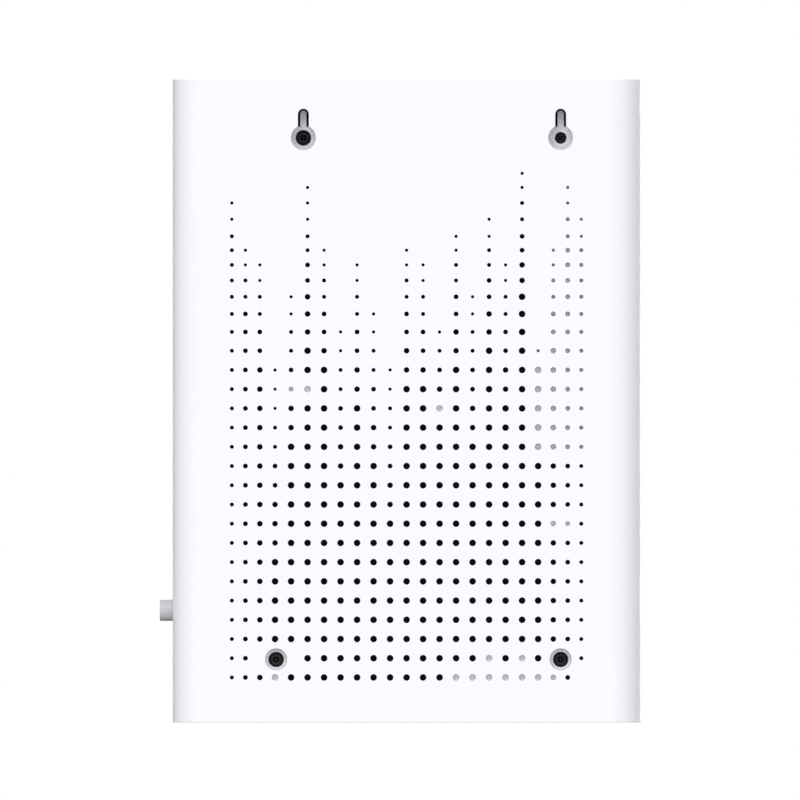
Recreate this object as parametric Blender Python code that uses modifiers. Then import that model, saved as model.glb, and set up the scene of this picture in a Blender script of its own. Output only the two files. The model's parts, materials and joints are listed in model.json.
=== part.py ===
"""Wireless router in a slim upright case, modelled as the pieces it comes apart into.

The case stands on its bottom end or hangs on two wall screws. Its front faces -Y, its perforated
back faces +Y, and the sockets are in the bottom end. The origin is the centre of the bottom face.
Sizes below are in millimetres; the helpers turn them into metres.
"""

import math

import bmesh
import bpy
from mathutils import Matrix, Vector

MM = 0.001
GAP = 0.3

# Case
HALF_WIDTH = 80.0
HALF_DEPTH = 16.5
HEIGHT = 220.0
WALL = 2.2
CORNER = 11.0
CORNER_STEPS = 6
PARTING_Y = 1.4
SEAM = 0.15
INSIDE_X = HALF_WIDTH - WALL
INSIDE_Y = HALF_DEPTH - WALL
INSIDE_CORNER = CORNER - WALL
LIP_HEIGHT = 1.5
LIP_BAND = 2.5
LIP_OUTER_X = INSIDE_X - GAP
LIP_INNER_X = LIP_OUTER_X - 1.0

# Fixings: the upper pair sits under the keyholes, the lower pair in round wells
KEYHOLE_Z = 199.9
KEYHOLE_XS = (35.3, -52.7)
KEYHOLE_SCREW_RADII = (2.45, 1.75)
WELL_Z = 21.5
WELL_XS = (44.6, -52.7)
WELL_SCREW_RADIUS = 2.4
PILOT_RADIUS = 1.5
SCREW_HOLE_RADIUS = 1.4
KEYHOLE_RADIUS = 4.25
SLOT_HALF = 1.85
SLOT_ARC_Z = 8.1
POCKET_FLOOR_Y = 10.5
KEYHOLE_SEAT_Y = 7.0
KEYHOLE_TOWER_Y = 5.0
WELL_RADIUS = 3.75
WELL_LEDGE_RADIUS = 3.15
WELL_LEDGE_Y = 12.3
WELL_SEAT_Y = 9.6
WELL_BOTTOM_Y = 8.0

# Vent field: columns count from -11 at the +X side to 11 at the -X side, rows from the top down
VENT_SIDE_COLUMNS = 11
VENT_EVEN_COLUMNS = 7
VENT_PITCH_X = 5.643
VENT_SIDE_GAP = 5.763
VENT_PITCH_Z = 6.573
VENT_UPPER_GAPS = (4.81, 5.31, 5.57, 5.83)
VENT_GAP_START = 4.75
VENT_GAP_STEP = 0.28
VENT_ROWS = 29
VENT_BOTTOM_Z = 15.35
VENT_FIRST_ROWS = (2, 5, 6, 12, 8, 1, 5, 10, 6, 9, 12, 5, 6, 10, 4, 8, 3, 6, 0, 11, 5, 1, 3)
VENT_DIAMETERS = (1.06, 1.35, 1.62, 1.90, 2.24)
VENT_CLEAR_OF_WELL = 5.8
VENT_SIDES = 4

# Circuit board and the sockets on its front face
BOARD_X = 73.0
BOARD_FRONT_Y = 5.6
BOARD_BACK_Y = 7.2
BOARD_LOW_Z = 4.0
BOARD_HIGH_Z = 185.0
SEAT_Y = BOARD_FRONT_Y - GAP
BOARD_SCREWS = ((66.0, 60.0), (66.0, 178.0), (-68.0, 178.0))
SOCKET_FACE_Z = 0.3
SOCKET_BACK_Z = 21.3
SOCKET_FRONT_Y = -8.2
SOCKET_HALF = 7.5
WAN_XS = (-40.7,)
LAN_XS = ((-23.0, -9.0), (9.0, 23.0))
NETWORK_SOCKET_DEPTH = 12.5
USB_X = -65.5
POWER_SOCKET_X = 66.5
RESET_X = 56.0
PAIRING_X = 36.0
SMALL_BUTTON_Y = 1.0

# Power button on the +X side
BUTTON_Z = 38.45
BUTTON_RADIUS = 3.75
BUTTON_TIP_X = 84.4
BUTTON_FLANGE_RADIUS = 4.75

LED_XS = (-15.0, -5.0, 5.0, 15.0)
LED_Z = 60.0

# Base colour, roughness and metallic value of each material
LOOKS = {
    "white_case": ((0.86, 0.86, 0.88), 0.45, 0.0),
    "grey_button": ((0.55, 0.56, 0.58), 0.35, 0.0),
    "white_plastic": ((0.80, 0.80, 0.80), 0.50, 0.0),
    "black_plastic": ((0.02, 0.02, 0.022), 0.45, 0.0),
    "black_steel": ((0.015, 0.015, 0.017), 0.35, 0.8),
    "solder_mask": ((0.01, 0.02, 0.015), 0.40, 0.0),
    "tinned_steel": ((0.62, 0.62, 0.60), 0.30, 1.0),
    "aluminium": ((0.70, 0.71, 0.73), 0.35, 1.0),
    "clear_plastic": ((0.85, 0.87, 0.88), 0.15, 0.0),
    "led_resin": ((0.90, 0.88, 0.70), 0.30, 0.0),
    "chip_resin": ((0.03, 0.03, 0.03), 0.55, 0.0),
    "silicone_pad": ((0.35, 0.42, 0.55), 0.80, 0.0),
    "capacitor_sleeve": ((0.05, 0.06, 0.10), 0.30, 0.0),
    "ferrite": ((0.09, 0.09, 0.09), 0.70, 0.0),
    "brass": ((0.75, 0.60, 0.30), 0.30, 1.0),
    "antenna_board": ((0.02, 0.05, 0.03), 0.45, 0.0),
    "lead_jacket": ((0.03, 0.03, 0.03), 0.50, 0.0),
}


# ---------------------------------------------------------------- helpers

def clear_scene():
    for item in list(bpy.data.objects):
        bpy.data.objects.remove(item, do_unlink=True)


def make_collection(name):
    group = bpy.data.collections.new(name)
    bpy.context.scene.collection.children.link(group)
    return group


def add_empty(name, location, parent=None):
    empty = bpy.data.objects.new(name, None)
    empty.empty_display_size = 5 * MM
    empty.location = Vector(location) * MM
    empty.parent = parent
    PARTS.objects.link(empty)
    return empty


def make_material(name, look):
    colour, roughness, metallic = LOOKS[look]
    material = bpy.data.materials.new(name + "_" + look)
    material.use_nodes = True
    shader = material.node_tree.nodes["Principled BSDF"]
    shader.inputs["Base Color"].default_value = (*colour, 1.0)
    shader.inputs["Roughness"].default_value = roughness
    shader.inputs["Metallic"].default_value = metallic
    return material


def register(piece, look):
    """Put a piece with the parts and give it its material; with no look it is a boolean tool."""
    if look:
        piece.data.materials.append(make_material(piece.name, look))
        piece.parent = ROUTER
        PARTS.objects.link(piece)
    else:
        piece.hide_render = True
        piece.display_type = "WIRE"
        TOOLS.objects.link(piece)
    return piece


def finish_mesh(name, shape):
    mesh = bpy.data.meshes.new(name)
    shape.to_mesh(mesh)
    shape.free()
    return mesh


def edges_along(shape, axis):
    found = []
    for edge in shape.edges:
        run = edge.verts[1].co - edge.verts[0].co
        if abs(run[axis]) > 0.999 * run.length:
            found.append(edge)
    return found


def box(name, low, high, look=None, radius=0.0, axis=2, steps=3, side=0):
    """Box between two corners. The edges along an axis can be rounded, all or on one Y side."""
    low, high = Vector(low) * MM, Vector(high) * MM
    shape = bmesh.new()
    bmesh.ops.create_cube(shape, size=1.0)
    bmesh.ops.scale(shape, vec=high - low, verts=shape.verts)
    if radius:
        edges = edges_along(shape, axis)
        if side:
            edges = [edge for edge in edges if edge.verts[0].co.y * side > 0]
        bmesh.ops.bevel(shape, geom=edges, offset=radius * MM, segments=steps,
                        profile=0.5, affect="EDGES")
    piece = bpy.data.objects.new(name, finish_mesh(name, shape))
    piece.location = (low + high) / 2
    return register(piece, look)


def rod(name, start, end, radius, look=None, sides=16, end_radius=None):
    """Cylinder or cone between two points."""
    start, end = Vector(start) * MM, Vector(end) * MM
    run = end - start
    shape = bmesh.new()
    top = radius if end_radius is None else end_radius
    bmesh.ops.create_cone(shape, cap_ends=True, segments=sides, radius1=radius * MM,
                          radius2=top * MM, depth=run.length)
    mesh = finish_mesh(name, shape)
    mesh.shade_smooth()
    mesh.set_sharp_from_angle(angle=math.radians(50))
    piece = bpy.data.objects.new(name, mesh)
    piece.location = (start + end) / 2
    piece.rotation_euler = run.to_track_quat("Z", "Y").to_euler()
    return register(piece, look)


def turned(name, profile, base, direction, look=None, sides=16):
    """Turned piece: (radius, height) points from the top centre down the outer side."""
    mesh = bpy.data.meshes.new(name)
    points = [(radius * MM, 0.0, height * MM) for radius, height in profile]
    mesh.from_pydata(points, [(i, i + 1) for i in range(len(points) - 1)], [])
    piece = bpy.data.objects.new(name, mesh)
    piece.location = Vector(base) * MM
    piece.rotation_euler = Vector(direction).to_track_quat("Z", "Y").to_euler()
    spin = piece.modifiers.new("spin", "SCREW")
    spin.steps = sides
    spin.render_steps = sides
    spin.use_merge_vertices = True
    spin.merge_threshold = 0.00001
    return register(piece, look)


def mesh_from_curve(name, curve):
    """Closed mesh from a curve, its flat faces whole; the curve itself is removed."""
    guide = bpy.data.objects.new(name + "_curve", curve)
    TOOLS.objects.link(guide)
    view = bpy.context.evaluated_depsgraph_get()
    mesh = bpy.data.meshes.new_from_object(guide.evaluated_get(view))
    bpy.data.objects.remove(guide, do_unlink=True)
    shape = bmesh.new()
    shape.from_mesh(mesh)
    bmesh.ops.remove_doubles(shape, verts=shape.verts, dist=0.00001)
    bmesh.ops.dissolve_limit(shape, angle_limit=0.001, verts=shape.verts, edges=shape.edges)
    bmesh.ops.recalc_face_normals(shape, faces=shape.faces)
    bpy.data.meshes.remove(mesh)
    return finish_mesh(name, shape)


def outline(name, points, low_z, high_z, look=None):
    """Flat outline in the XY plane, thickened from low_z to high_z."""
    curve = bpy.data.curves.new(name, "CURVE")
    curve.dimensions = "2D"
    curve.fill_mode = "BOTH"
    curve.extrude = (high_z - low_z) / 2 * MM
    spline = curve.splines.new("POLY")
    spline.points.add(len(points) - 1)
    for point, (x, y) in zip(spline.points, points):
        point.co = (x * MM, y * MM, 0.0, 1.0)
    spline.use_cyclic_u = True
    piece = bpy.data.objects.new(name, mesh_from_curve(name, curve))
    piece.location = (0.0, 0.0, (low_z + high_z) / 2 * MM)
    return register(piece, look)


def smooth_route(stops, steps):
    """Points on a smooth curve through the stops."""
    stops = [Vector(stop) for stop in stops]
    ends = [stops[0] * 2 - stops[1]] + stops + [stops[-1] * 2 - stops[-2]]
    route = []
    for a, b, c, d in zip(ends, ends[1:], ends[2:], ends[3:]):
        for step in range(steps):
            t = step / steps
            route.append(0.5 * (2 * b + (c - a) * t + (2 * a - 5 * b + 4 * c - d) * t ** 2
                                + (3 * b - a - 3 * c + d) * t ** 3))
    route.append(stops[-1])
    return route


def lead(name, stops, radius, look):
    """Thin round lead along a smooth route."""
    curve = bpy.data.curves.new(name, "CURVE")
    curve.dimensions = "3D"
    curve.bevel_depth = radius * MM
    curve.bevel_resolution = 2
    curve.use_fill_caps = True
    route = smooth_route(stops, 2)
    spline = curve.splines.new("POLY")
    spline.points.add(len(route) - 1)
    for point, place in zip(spline.points, route):
        point.co = (*(place * MM), 1.0)
    piece = bpy.data.objects.new(name, mesh_from_curve(name, curve))
    return register(piece, look)


def combine(target, tool, operation):
    change = target.modifiers.new(tool.name, "BOOLEAN")
    change.operation = operation
    change.solver = "EXACT"
    change.object = tool


def cut(target, *tools):
    for tool in tools:
        combine(target, tool, "DIFFERENCE")


def join(target, *tools):
    for tool in tools:
        combine(target, tool, "UNION")


# ---------------------------------------------------------------- vents

def vent_column_x(column):
    """Even pitch in the middle; towards both sides the columns draw together."""
    steps = abs(column)
    reach = min(steps, VENT_EVEN_COLUMNS) * VENT_PITCH_X
    for extra in range(1, steps - VENT_EVEN_COLUMNS + 1):
        reach += VENT_SIDE_GAP - VENT_GAP_STEP * extra
    return math.copysign(reach, -column)


def vent_gap(row):
    """Distance from a row to the row below it."""
    upper = len(VENT_UPPER_GAPS)
    if row < upper:
        return VENT_UPPER_GAPS[row]
    return min(VENT_PITCH_Z, VENT_GAP_START + VENT_GAP_STEP * (row - upper))


def vent_row_z(row):
    return VENT_BOTTOM_Z + sum(vent_gap(lower) for lower in range(row, VENT_ROWS - 1))


def vent_diameter(index, row):
    """Holes grow with every second row below a column's first, less in the outermost columns."""
    largest = len(VENT_DIAMETERS) - 1
    limit = min(largest, 1 + index, 2 * VENT_SIDE_COLUMNS + 1 - index)
    return VENT_DIAMETERS[min(limit, (row - VENT_FIRST_ROWS[index]) // 2)]


def vent_holes():
    """Place and diameter of every vent hole."""
    holes = []
    for index, first_row in enumerate(VENT_FIRST_ROWS):
        x = vent_column_x(index - VENT_SIDE_COLUMNS)
        for row in range(first_row, VENT_ROWS):
            z = vent_row_z(row)
            near_well = any(math.hypot(x - well_x, z - WELL_Z) < VENT_CLEAR_OF_WELL
                            for well_x in WELL_XS)
            corner = index == 2 * VENT_SIDE_COLUMNS and row == VENT_ROWS - 1
            if not near_well and not corner:
                holes.append((x, z, vent_diameter(index, row)))
    return holes


def vent_tool():
    """Prisms of the holes' open area, in one tool."""
    shape = bmesh.new()
    same_area = math.sqrt(2 * math.pi / (VENT_SIDES * math.sin(2 * math.pi / VENT_SIDES)))
    overrun = 0.1
    depth = WALL + 2 * overrun
    turn = Matrix.Rotation(math.radians(90), 4, "X")
    for x, z, diameter in vent_holes():
        radius = diameter / 2 * same_area * MM
        place = Matrix.Translation(Vector((x, HALF_DEPTH - WALL / 2, z)) * MM)
        bmesh.ops.create_cone(shape, cap_ends=True, segments=VENT_SIDES, radius1=radius,
                              radius2=radius, depth=depth * MM, matrix=place @ turn)
    return register(bpy.data.objects.new("vent_tool", finish_mesh("vent_tool", shape)), None)


# ---------------------------------------------------------------- case

def add_keyhole(cover, number, x, screw_radius):
    """Keyhole for a wall screw, with a pocket behind it and a screw tower under its round end."""
    z = KEYHOLE_Z
    tag = f"keyhole_{number}_"
    tongue_half = 1.1
    tongue_top = z + 9.35
    pocket_low, pocket_high = z - 4.9, z + 10.9
    pocket_half = 5.0
    skin = 1.6
    under = POCKET_FLOOR_Y - skin
    hole_radius = screw_radius + GAP
    join(
        cover,
        box(tag + "pocket", (x - pocket_half - skin, under, pocket_low - skin),
            (x + pocket_half + skin, INSIDE_Y + 1.0, pocket_high + skin)),
        rod(tag + "tower", (x, KEYHOLE_TOWER_Y, z), (x, POCKET_FLOOR_Y - 0.5, z), 4.4),
    )
    cut(
        cover,
        box(tag + "hollow", (x - pocket_half, POCKET_FLOOR_Y, pocket_low),
            (x + pocket_half, INSIDE_Y, pocket_high)),
        rod(tag + "entry", (x, INSIDE_Y - 1.0, z), (x, HALF_DEPTH + 1.0, z), KEYHOLE_RADIUS,
            sides=24),
        box(tag + "slot", (x - SLOT_HALF, INSIDE_Y - 1.0, z),
            (x + SLOT_HALF, HALF_DEPTH + 1.0, z + SLOT_ARC_Z)),
        rod(tag + "slot_end", (x, INSIDE_Y - 1.0, z + SLOT_ARC_Z),
            (x, HALF_DEPTH + 1.0, z + SLOT_ARC_Z), SLOT_HALF),
        box(tag + "window", (x - pocket_half, under - 1.0, z + 3.7),
            (x + pocket_half, POCKET_FLOOR_Y + 0.1, pocket_high)),
        rod(tag + "screw_way", (x, KEYHOLE_SEAT_Y, z), (x, POCKET_FLOOR_Y + 1.0, z), hole_radius),
        rod(tag + "screw_hole", (x, KEYHOLE_TOWER_Y - 1.0, z), (x, KEYHOLE_SEAT_Y + 1.0, z),
            SCREW_HOLE_RADIUS, sides=12),
    )
    join(
        cover,
        box(tag + "tongue", (x - tongue_half, under + 0.1, z + hole_radius + 0.4),
            (x + tongue_half, POCKET_FLOOR_Y - 0.1, tongue_top)),
    )


def add_well(cover, number, x):
    """Round screw well with a sloping mouth, a ledge and a deeper way down to the screw's seat."""
    z = WELL_Z
    tag = f"well_{number}_"
    slope = (WELL_RADIUS - WELL_LEDGE_RADIUS) / (HALF_DEPTH - WELL_LEDGE_Y)
    over = 1.0
    join(cover, rod(tag + "wall", (x, WELL_BOTTOM_Y, z), (x, INSIDE_Y + 1.0, z), 5.0, sides=20))
    cut(
        cover,
        rod(tag + "mouth", (x, WELL_LEDGE_Y, z), (x, HALF_DEPTH + over, z), WELL_LEDGE_RADIUS,
            end_radius=WELL_RADIUS + slope * over, sides=24),
        rod(tag + "screw_way", (x, WELL_SEAT_Y, z), (x, WELL_LEDGE_Y + over, z),
            WELL_SCREW_RADIUS + GAP, sides=20),
        rod(tag + "screw_hole", (x, WELL_BOTTOM_Y - over, z), (x, WELL_SEAT_Y + over, z),
            SCREW_HOLE_RADIUS, sides=12),
    )


def add_board_rests(cover):
    """Posts and a rib that reach down to the board and close the vent holes over them."""
    tip = BOARD_BACK_Y + GAP
    root = INSIDE_Y + 0.5
    half = 2.0
    rests = (
        ("rest_wide_upper", 36.7, 113.9, 4.3),
        ("rest_wide_lower", -52.7, 67.9, 4.3),
        ("rest_small_1", -11.3, 107.3, half),
        ("rest_small_2", -28.2, 21.9, half),
        ("rest_small_3", -39.5, 21.9, half),
        ("rest_small_4", 45.0, 15.35, half),
    )
    for name, x, z, half_width in rests:
        join(cover, box(name, (x - half_width, tip, z - half), (x + half_width, root, z + half)))
    join(cover, box("rest_rib", (-51.5, tip, VENT_BOTTOM_Z - 1.6), (-15.5, root, VENT_BOTTOM_Z + 1.6)))


def make_back_cover():
    rim_y = PARTING_Y + SEAM
    cover = box("back_cover", (-HALF_WIDTH, rim_y, 0), (HALF_WIDTH, HALF_DEPTH, HEIGHT),
                "white_case", radius=CORNER, steps=CORNER_STEPS, side=1)
    cut(cover, box("back_hollow", (-INSIDE_X, 2 * rim_y - INSIDE_Y, WALL),
                   (INSIDE_X, INSIDE_Y, HEIGHT - WALL),
                   radius=INSIDE_CORNER, steps=CORNER_STEPS, side=1))
    for number, (x, radius) in enumerate(zip(KEYHOLE_XS, KEYHOLE_SCREW_RADII), 1):
        add_keyhole(cover, number, x, radius)
    for number, x in enumerate(WELL_XS, 1):
        add_well(cover, number, x)
    add_board_rests(cover)
    cut(
        cover,
        box("back_port_opening", (-75.3, -8.8, -1), (75.3, 8.8, WALL + 0.1)),
        rod("back_button_hole", (INSIDE_X - 1, PARTING_Y, BUTTON_Z),
            (HALF_WIDTH + 1, PARTING_Y, BUTTON_Z), BUTTON_RADIUS + GAP, sides=24),
        vent_tool(),
    )
    return cover


def make_front_cover():
    rim_y = PARTING_Y - SEAM
    cover = box("front_cover", (-HALF_WIDTH, -HALF_DEPTH, 0), (HALF_WIDTH, rim_y, HEIGHT),
                "white_case", radius=CORNER, steps=CORNER_STEPS, side=-1)
    lip_top = PARTING_Y + LIP_HEIGHT
    join(cover, box("lip_block", (-LIP_OUTER_X, 0, WALL + GAP),
                    (LIP_OUTER_X, lip_top, HEIGHT - WALL - GAP)))
    band_y = rim_y - LIP_BAND
    lip_inset = HALF_WIDTH - LIP_INNER_X
    cut(
        cover,
        box("front_hollow", (-INSIDE_X, -INSIDE_Y, WALL), (INSIDE_X, band_y, HEIGHT - WALL),
            radius=INSIDE_CORNER, steps=CORNER_STEPS, side=-1),
        box("lip_hollow", (-LIP_INNER_X, band_y - 0.2, WALL),
            (LIP_INNER_X, lip_top + 1, HEIGHT - lip_inset)),
        box("front_port_opening", (-75.3, -10.8, -1), (75.3, lip_top + 1, WALL + 0.1)),
        rod("front_button_hole", (INSIDE_X - 1, PARTING_Y, BUTTON_Z),
            (HALF_WIDTH + 1, PARTING_Y, BUTTON_Z), BUTTON_RADIUS + GAP, sides=24),
        rod("flange_room", (LIP_INNER_X - 1, PARTING_Y, BUTTON_Z),
            (INSIDE_X, PARTING_Y, BUTTON_Z), BUTTON_FLANGE_RADIUS + GAP, sides=20),
    )
    add_front_bosses(cover)
    for number, x in enumerate(LED_XS, 1):
        cut(cover, box(f"window_{number}", (x - 3.0, -HALF_DEPTH - 1, LED_Z - 1.1),
                       (x + 3.0, 1 - INSIDE_Y, LED_Z + 1.1)))
    return cover


def add_front_bosses(cover):
    """Screw bosses, standoffs under the board and two pegs under the light guide."""
    root = -INSIDE_Y - 0.5
    case_fixings = [(x, KEYHOLE_Z, KEYHOLE_TOWER_Y - GAP) for x in KEYHOLE_XS]
    case_fixings += [(x, WELL_Z, WELL_BOTTOM_Y - GAP) for x in WELL_XS]
    for number, (x, z, top) in enumerate(case_fixings, 1):
        join(cover, rod(f"boss_{number}", (x, root, z), (x, top, z), 3.5))
        cut(cover, rod(f"pilot_{number}", (x, -2.5, z), (x, top + 1, z), PILOT_RADIUS, sides=12))
    for number, (x, z) in enumerate(BOARD_SCREWS, 1):
        join(cover, rod(f"standoff_{number}", (x, root, z), (x, SEAT_Y, z), 3.0, sides=12))
        cut(cover, rod(f"standoff_pilot_{number}", (x, -1.0, z), (x, SEAT_Y + 1, z), 1.2, sides=8))
    for side in (-1, 1):
        x = side * 24.0
        join(cover, rod(f"guide_peg_{side + 2}", (x, root, LED_Z), (x, -9.3, LED_Z), 2.0, sides=12))


def make_port_panel():
    """Panel in the bottom end, held by a flange behind the case's rim."""
    panel = box("port_panel", (-75.0, -10.5, 0.0), (75.0, 8.5, 3.0), "black_plastic")
    join(panel, box("panel_flange", (-76.1, -11.7, WALL + GAP), (76.1, 9.7, 3.5), radius=4.0, steps=2))
    low, high = -1.0, 4.5
    low_y, high_y = SOCKET_FRONT_Y - GAP, BOARD_FRONT_Y
    reach = SOCKET_HALF + GAP
    for number, xs in enumerate((WAN_XS, *LAN_XS)):
        cut(panel, box(f"network_opening_{number}", (xs[0] - reach, low_y, low),
                       (xs[-1] + reach, high_y, high)))
    cut(
        panel,
        box("usb_opening", (USB_X - 6.9, -0.7, low), (USB_X + 6.9, high_y, high)),
        box("power_opening", (POWER_SOCKET_X - 4.8, -6.0, low), (POWER_SOCKET_X + 4.8, high_y, high)),
        rod("pairing_hole", (PAIRING_X, SMALL_BUTTON_Y, low), (PAIRING_X, SMALL_BUTTON_Y, high), 2.6),
        rod("reset_hole", (RESET_X, SMALL_BUTTON_Y, low), (RESET_X, SMALL_BUTTON_Y, high), 0.9,
            sides=12),
    )


# ---------------------------------------------------------------- fasteners

def make_screw(name, place, seat_y, head_radius, head_height, shank_radius, shank_length):
    """Pan-head screw with a cross recess, its head towards +Y."""
    x, z = place
    base = (x, seat_y + GAP, z)
    crown = head_height * 0.35
    profile = (
        (0.0, head_height),
        (head_radius * 0.65, head_height),
        (head_radius * 0.93, head_height - crown * 0.5),
        (head_radius, head_height - crown),
        (head_radius, 0.0),
        (shank_radius, 0.0),
        (shank_radius, -shank_length + shank_radius),
        (shank_radius * 0.3, -shank_length),
        (0.0, -shank_length),
    )
    screw = turned(name, profile, base, (0, 1, 0), "black_steel", sides=14)
    arm, blade = head_radius * 0.58, head_radius * 0.14
    floor_y = base[1] + head_height * 0.45
    roof_y = base[1] + head_height + 0.5
    cut(
        screw,
        box(name + "_recess_a", (x - arm, floor_y, z - blade), (x + arm, roof_y, z + blade)),
        box(name + "_recess_b", (x - blade, floor_y, z - arm), (x + blade, roof_y, z + arm)),
    )


def make_fasteners():
    case_screws = [(x, KEYHOLE_Z, KEYHOLE_SEAT_Y, radius)
                   for x, radius in zip(KEYHOLE_XS, KEYHOLE_SCREW_RADII)]
    case_screws += [(x, WELL_Z, WELL_SEAT_Y, WELL_SCREW_RADIUS) for x in WELL_XS]
    for number, (x, z, seat_y, radius) in enumerate(case_screws, 1):
        make_screw(f"case_screw_{number}", (x, z), seat_y, radius, 1.9, 1.1, 8.5)
    for number, place in enumerate(BOARD_SCREWS, 1):
        make_screw(f"board_screw_{number}", place, BOARD_BACK_Y, 1.9, 1.3, 0.8, 6.0)


# ---------------------------------------------------------------- board and sockets

def make_main_board():
    board = box("main_board", (-BOARD_X, BOARD_FRONT_Y, BOARD_LOW_Z),
                (BOARD_X, BOARD_BACK_Y, BOARD_HIGH_Z), "solder_mask", radius=2.0, axis=1, steps=2)
    low, high = BOARD_FRONT_Y - 1, BOARD_BACK_Y + 1
    for number, x in enumerate(WELL_XS, 1):
        cut(board, rod(f"board_boss_hole_{number}", (x, low, WELL_Z), (x, high, WELL_Z), 4.0))
    for number, (x, z) in enumerate(BOARD_SCREWS, 1):
        cut(board, rod(f"board_screw_hole_{number}", (x, low, z), (x, high, z), 1.3, sides=12))


def network_cavity(name, x):
    """Mouth of a network socket: the plug's body and the narrower way for its latch."""
    body, latch = 5.85, 3.1
    board_side, side, shoulder, tip = 2.1, -4.7, -4.95, -7.0
    points = (
        (x - body, board_side), (x - body, side), (x - latch, shoulder), (x - latch, tip),
        (x + latch, tip), (x + latch, shoulder), (x + body, side), (x + body, board_side),
    )
    return outline(name, points, SOCKET_FACE_Z - 1, SOCKET_FACE_Z + NETWORK_SOCKET_DEPTH)


def make_network_socket(name, xs):
    socket = box(name, (xs[0] - SOCKET_HALF, SOCKET_FRONT_Y, SOCKET_FACE_Z),
                 (xs[-1] + SOCKET_HALF, SEAT_Y, SOCKET_BACK_Z), "tinned_steel")
    for number, x in enumerate(xs, 1):
        cut(socket, network_cavity(f"{name}_cavity_{number}", x))


def make_usb_port():
    shell_half, wall = 6.55, 0.35
    low_y = -0.4
    back_z = 15.3
    shell = box("usb_port", (USB_X - shell_half, low_y, SOCKET_FACE_Z),
                (USB_X + shell_half, SEAT_Y, back_z), "tinned_steel")
    cut(shell, box("usb_hollow", (USB_X - shell_half + wall, low_y + wall, SOCKET_FACE_Z - 1),
                   (USB_X + shell_half - wall, SEAT_Y - wall, back_z - wall)))
    box("usb_tongue", (USB_X - 5.6, 2.4, SOCKET_FACE_Z + 1.0), (USB_X + 5.6, 4.2, back_z - wall - GAP),
        "white_plastic")


def make_power_socket():
    y = -0.5
    back_z = 15.3
    cavity_floor = 12.3
    socket = box("dc_jack", (POWER_SOCKET_X - 4.5, -5.7, SOCKET_FACE_Z),
                 (POWER_SOCKET_X + 4.5, SEAT_Y, back_z), "black_plastic")
    cut(socket, rod("dc_jack_mouth", (POWER_SOCKET_X, y, SOCKET_FACE_Z - 1),
                    (POWER_SOCKET_X, y, cavity_floor), 3.0, sides=20))
    rod("dc_jack_pin", (POWER_SOCKET_X, y, SOCKET_FACE_Z + 1.5),
        (POWER_SOCKET_X, y, cavity_floor - GAP), 1.0, "brass", sides=12)


# ---------------------------------------------------------------- buttons

def make_power_button():
    """Round cap on the side, pushed straight in, on the plunger of a switch on the board."""
    pivot = (BUTTON_TIP_X, PARTING_Y, BUTTON_Z)
    flange_out, flange_in, stem_end = 7.0, 8.1, 11.6
    rim = 0.6
    socket_depth = 3.0
    plunger_radius = 1.5
    profile = (
        (0.0, 0.0),
        (BUTTON_RADIUS - rim, 0.0),
        (BUTTON_RADIUS - rim * 0.3, -rim * 0.3),
        (BUTTON_RADIUS, -rim),
        (BUTTON_RADIUS, -flange_out),
        (BUTTON_FLANGE_RADIUS, -flange_out),
        (BUTTON_FLANGE_RADIUS, -flange_in),
        (3.0, -flange_in),
        (3.0, -stem_end),
        (plunger_radius + GAP, -stem_end),
        (plunger_radius + GAP, -stem_end + socket_depth),
        (0.0, -stem_end + socket_depth),
    )
    cap = turned("power_button", profile, (0, 0, 0), (1, 0, 0), "grey_button", sides=20)
    axis = add_empty("power_button_axis", pivot, ROUTER)
    cap.parent = axis
    plunger_out = BUTTON_TIP_X - stem_end + socket_depth - GAP
    rod("power_switch_plunger", (62.0, PARTING_Y, BUTTON_Z), (plunger_out, PARTING_Y, BUTTON_Z),
        plunger_radius, "white_plastic", sides=12)
    body = box("power_switch", (55.0, -2.5, BUTTON_Z - 3.5), (69.8, SEAT_Y, BUTTON_Z + 3.5),
               "black_plastic")
    cut(body, rod("power_switch_bore", (58.8, PARTING_Y, BUTTON_Z), (71.0, PARTING_Y, BUTTON_Z),
                  plunger_radius + GAP, sides=12))


def make_pairing_button():
    """Small round button in the port panel, over a tact switch."""
    x, y = PAIRING_X, SMALL_BUTTON_Y
    head, flange, stem = 2.3, 3.1, 1.4
    profile = ((0.0, 6.0), (stem, 6.0), (stem, 4.4), (flange, 4.4), (flange, 3.5),
               (head, 3.5), (head, 0.4), (head - 0.4, 0.0), (0.0, 0.0))
    cap = turned("wps_button", profile, (0, 0, 0), (0, 0, 1), "grey_button", sides=16)
    cap.parent = add_empty("wps_button_axis", (x, y, 0.6), ROUTER)
    make_tact_switch("wps_switch", x, y, 8.0)
    rod("wps_switch_plunger", (x, y, 6.9), (x, y, 9.2), 1.0, "white_plastic", sides=12)


def make_tact_switch(name, x, y, low_z):
    body = box(name, (x - 3.0, -2.0, low_z), (x + 3.0, SEAT_Y, low_z + 4.0), "black_plastic")
    cut(body, rod(name + "_bore", (x, y, low_z - 1), (x, y, low_z + 2.2), 1.0 + GAP, sides=12))


def make_reset_button():
    """Plunger of a tact switch, reached with a pin through the panel."""
    x, y = RESET_X, SMALL_BUTTON_Y
    make_tact_switch("reset_switch", x, y, 7.4)
    plunger = rod("reset_plunger", (0, 0, 0.0), (0, 0, 4.6), 1.0, "white_plastic", sides=12)
    plunger.parent = add_empty("reset_axis", (x, y, 4.2), ROUTER)


# ---------------------------------------------------------------- lights

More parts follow.
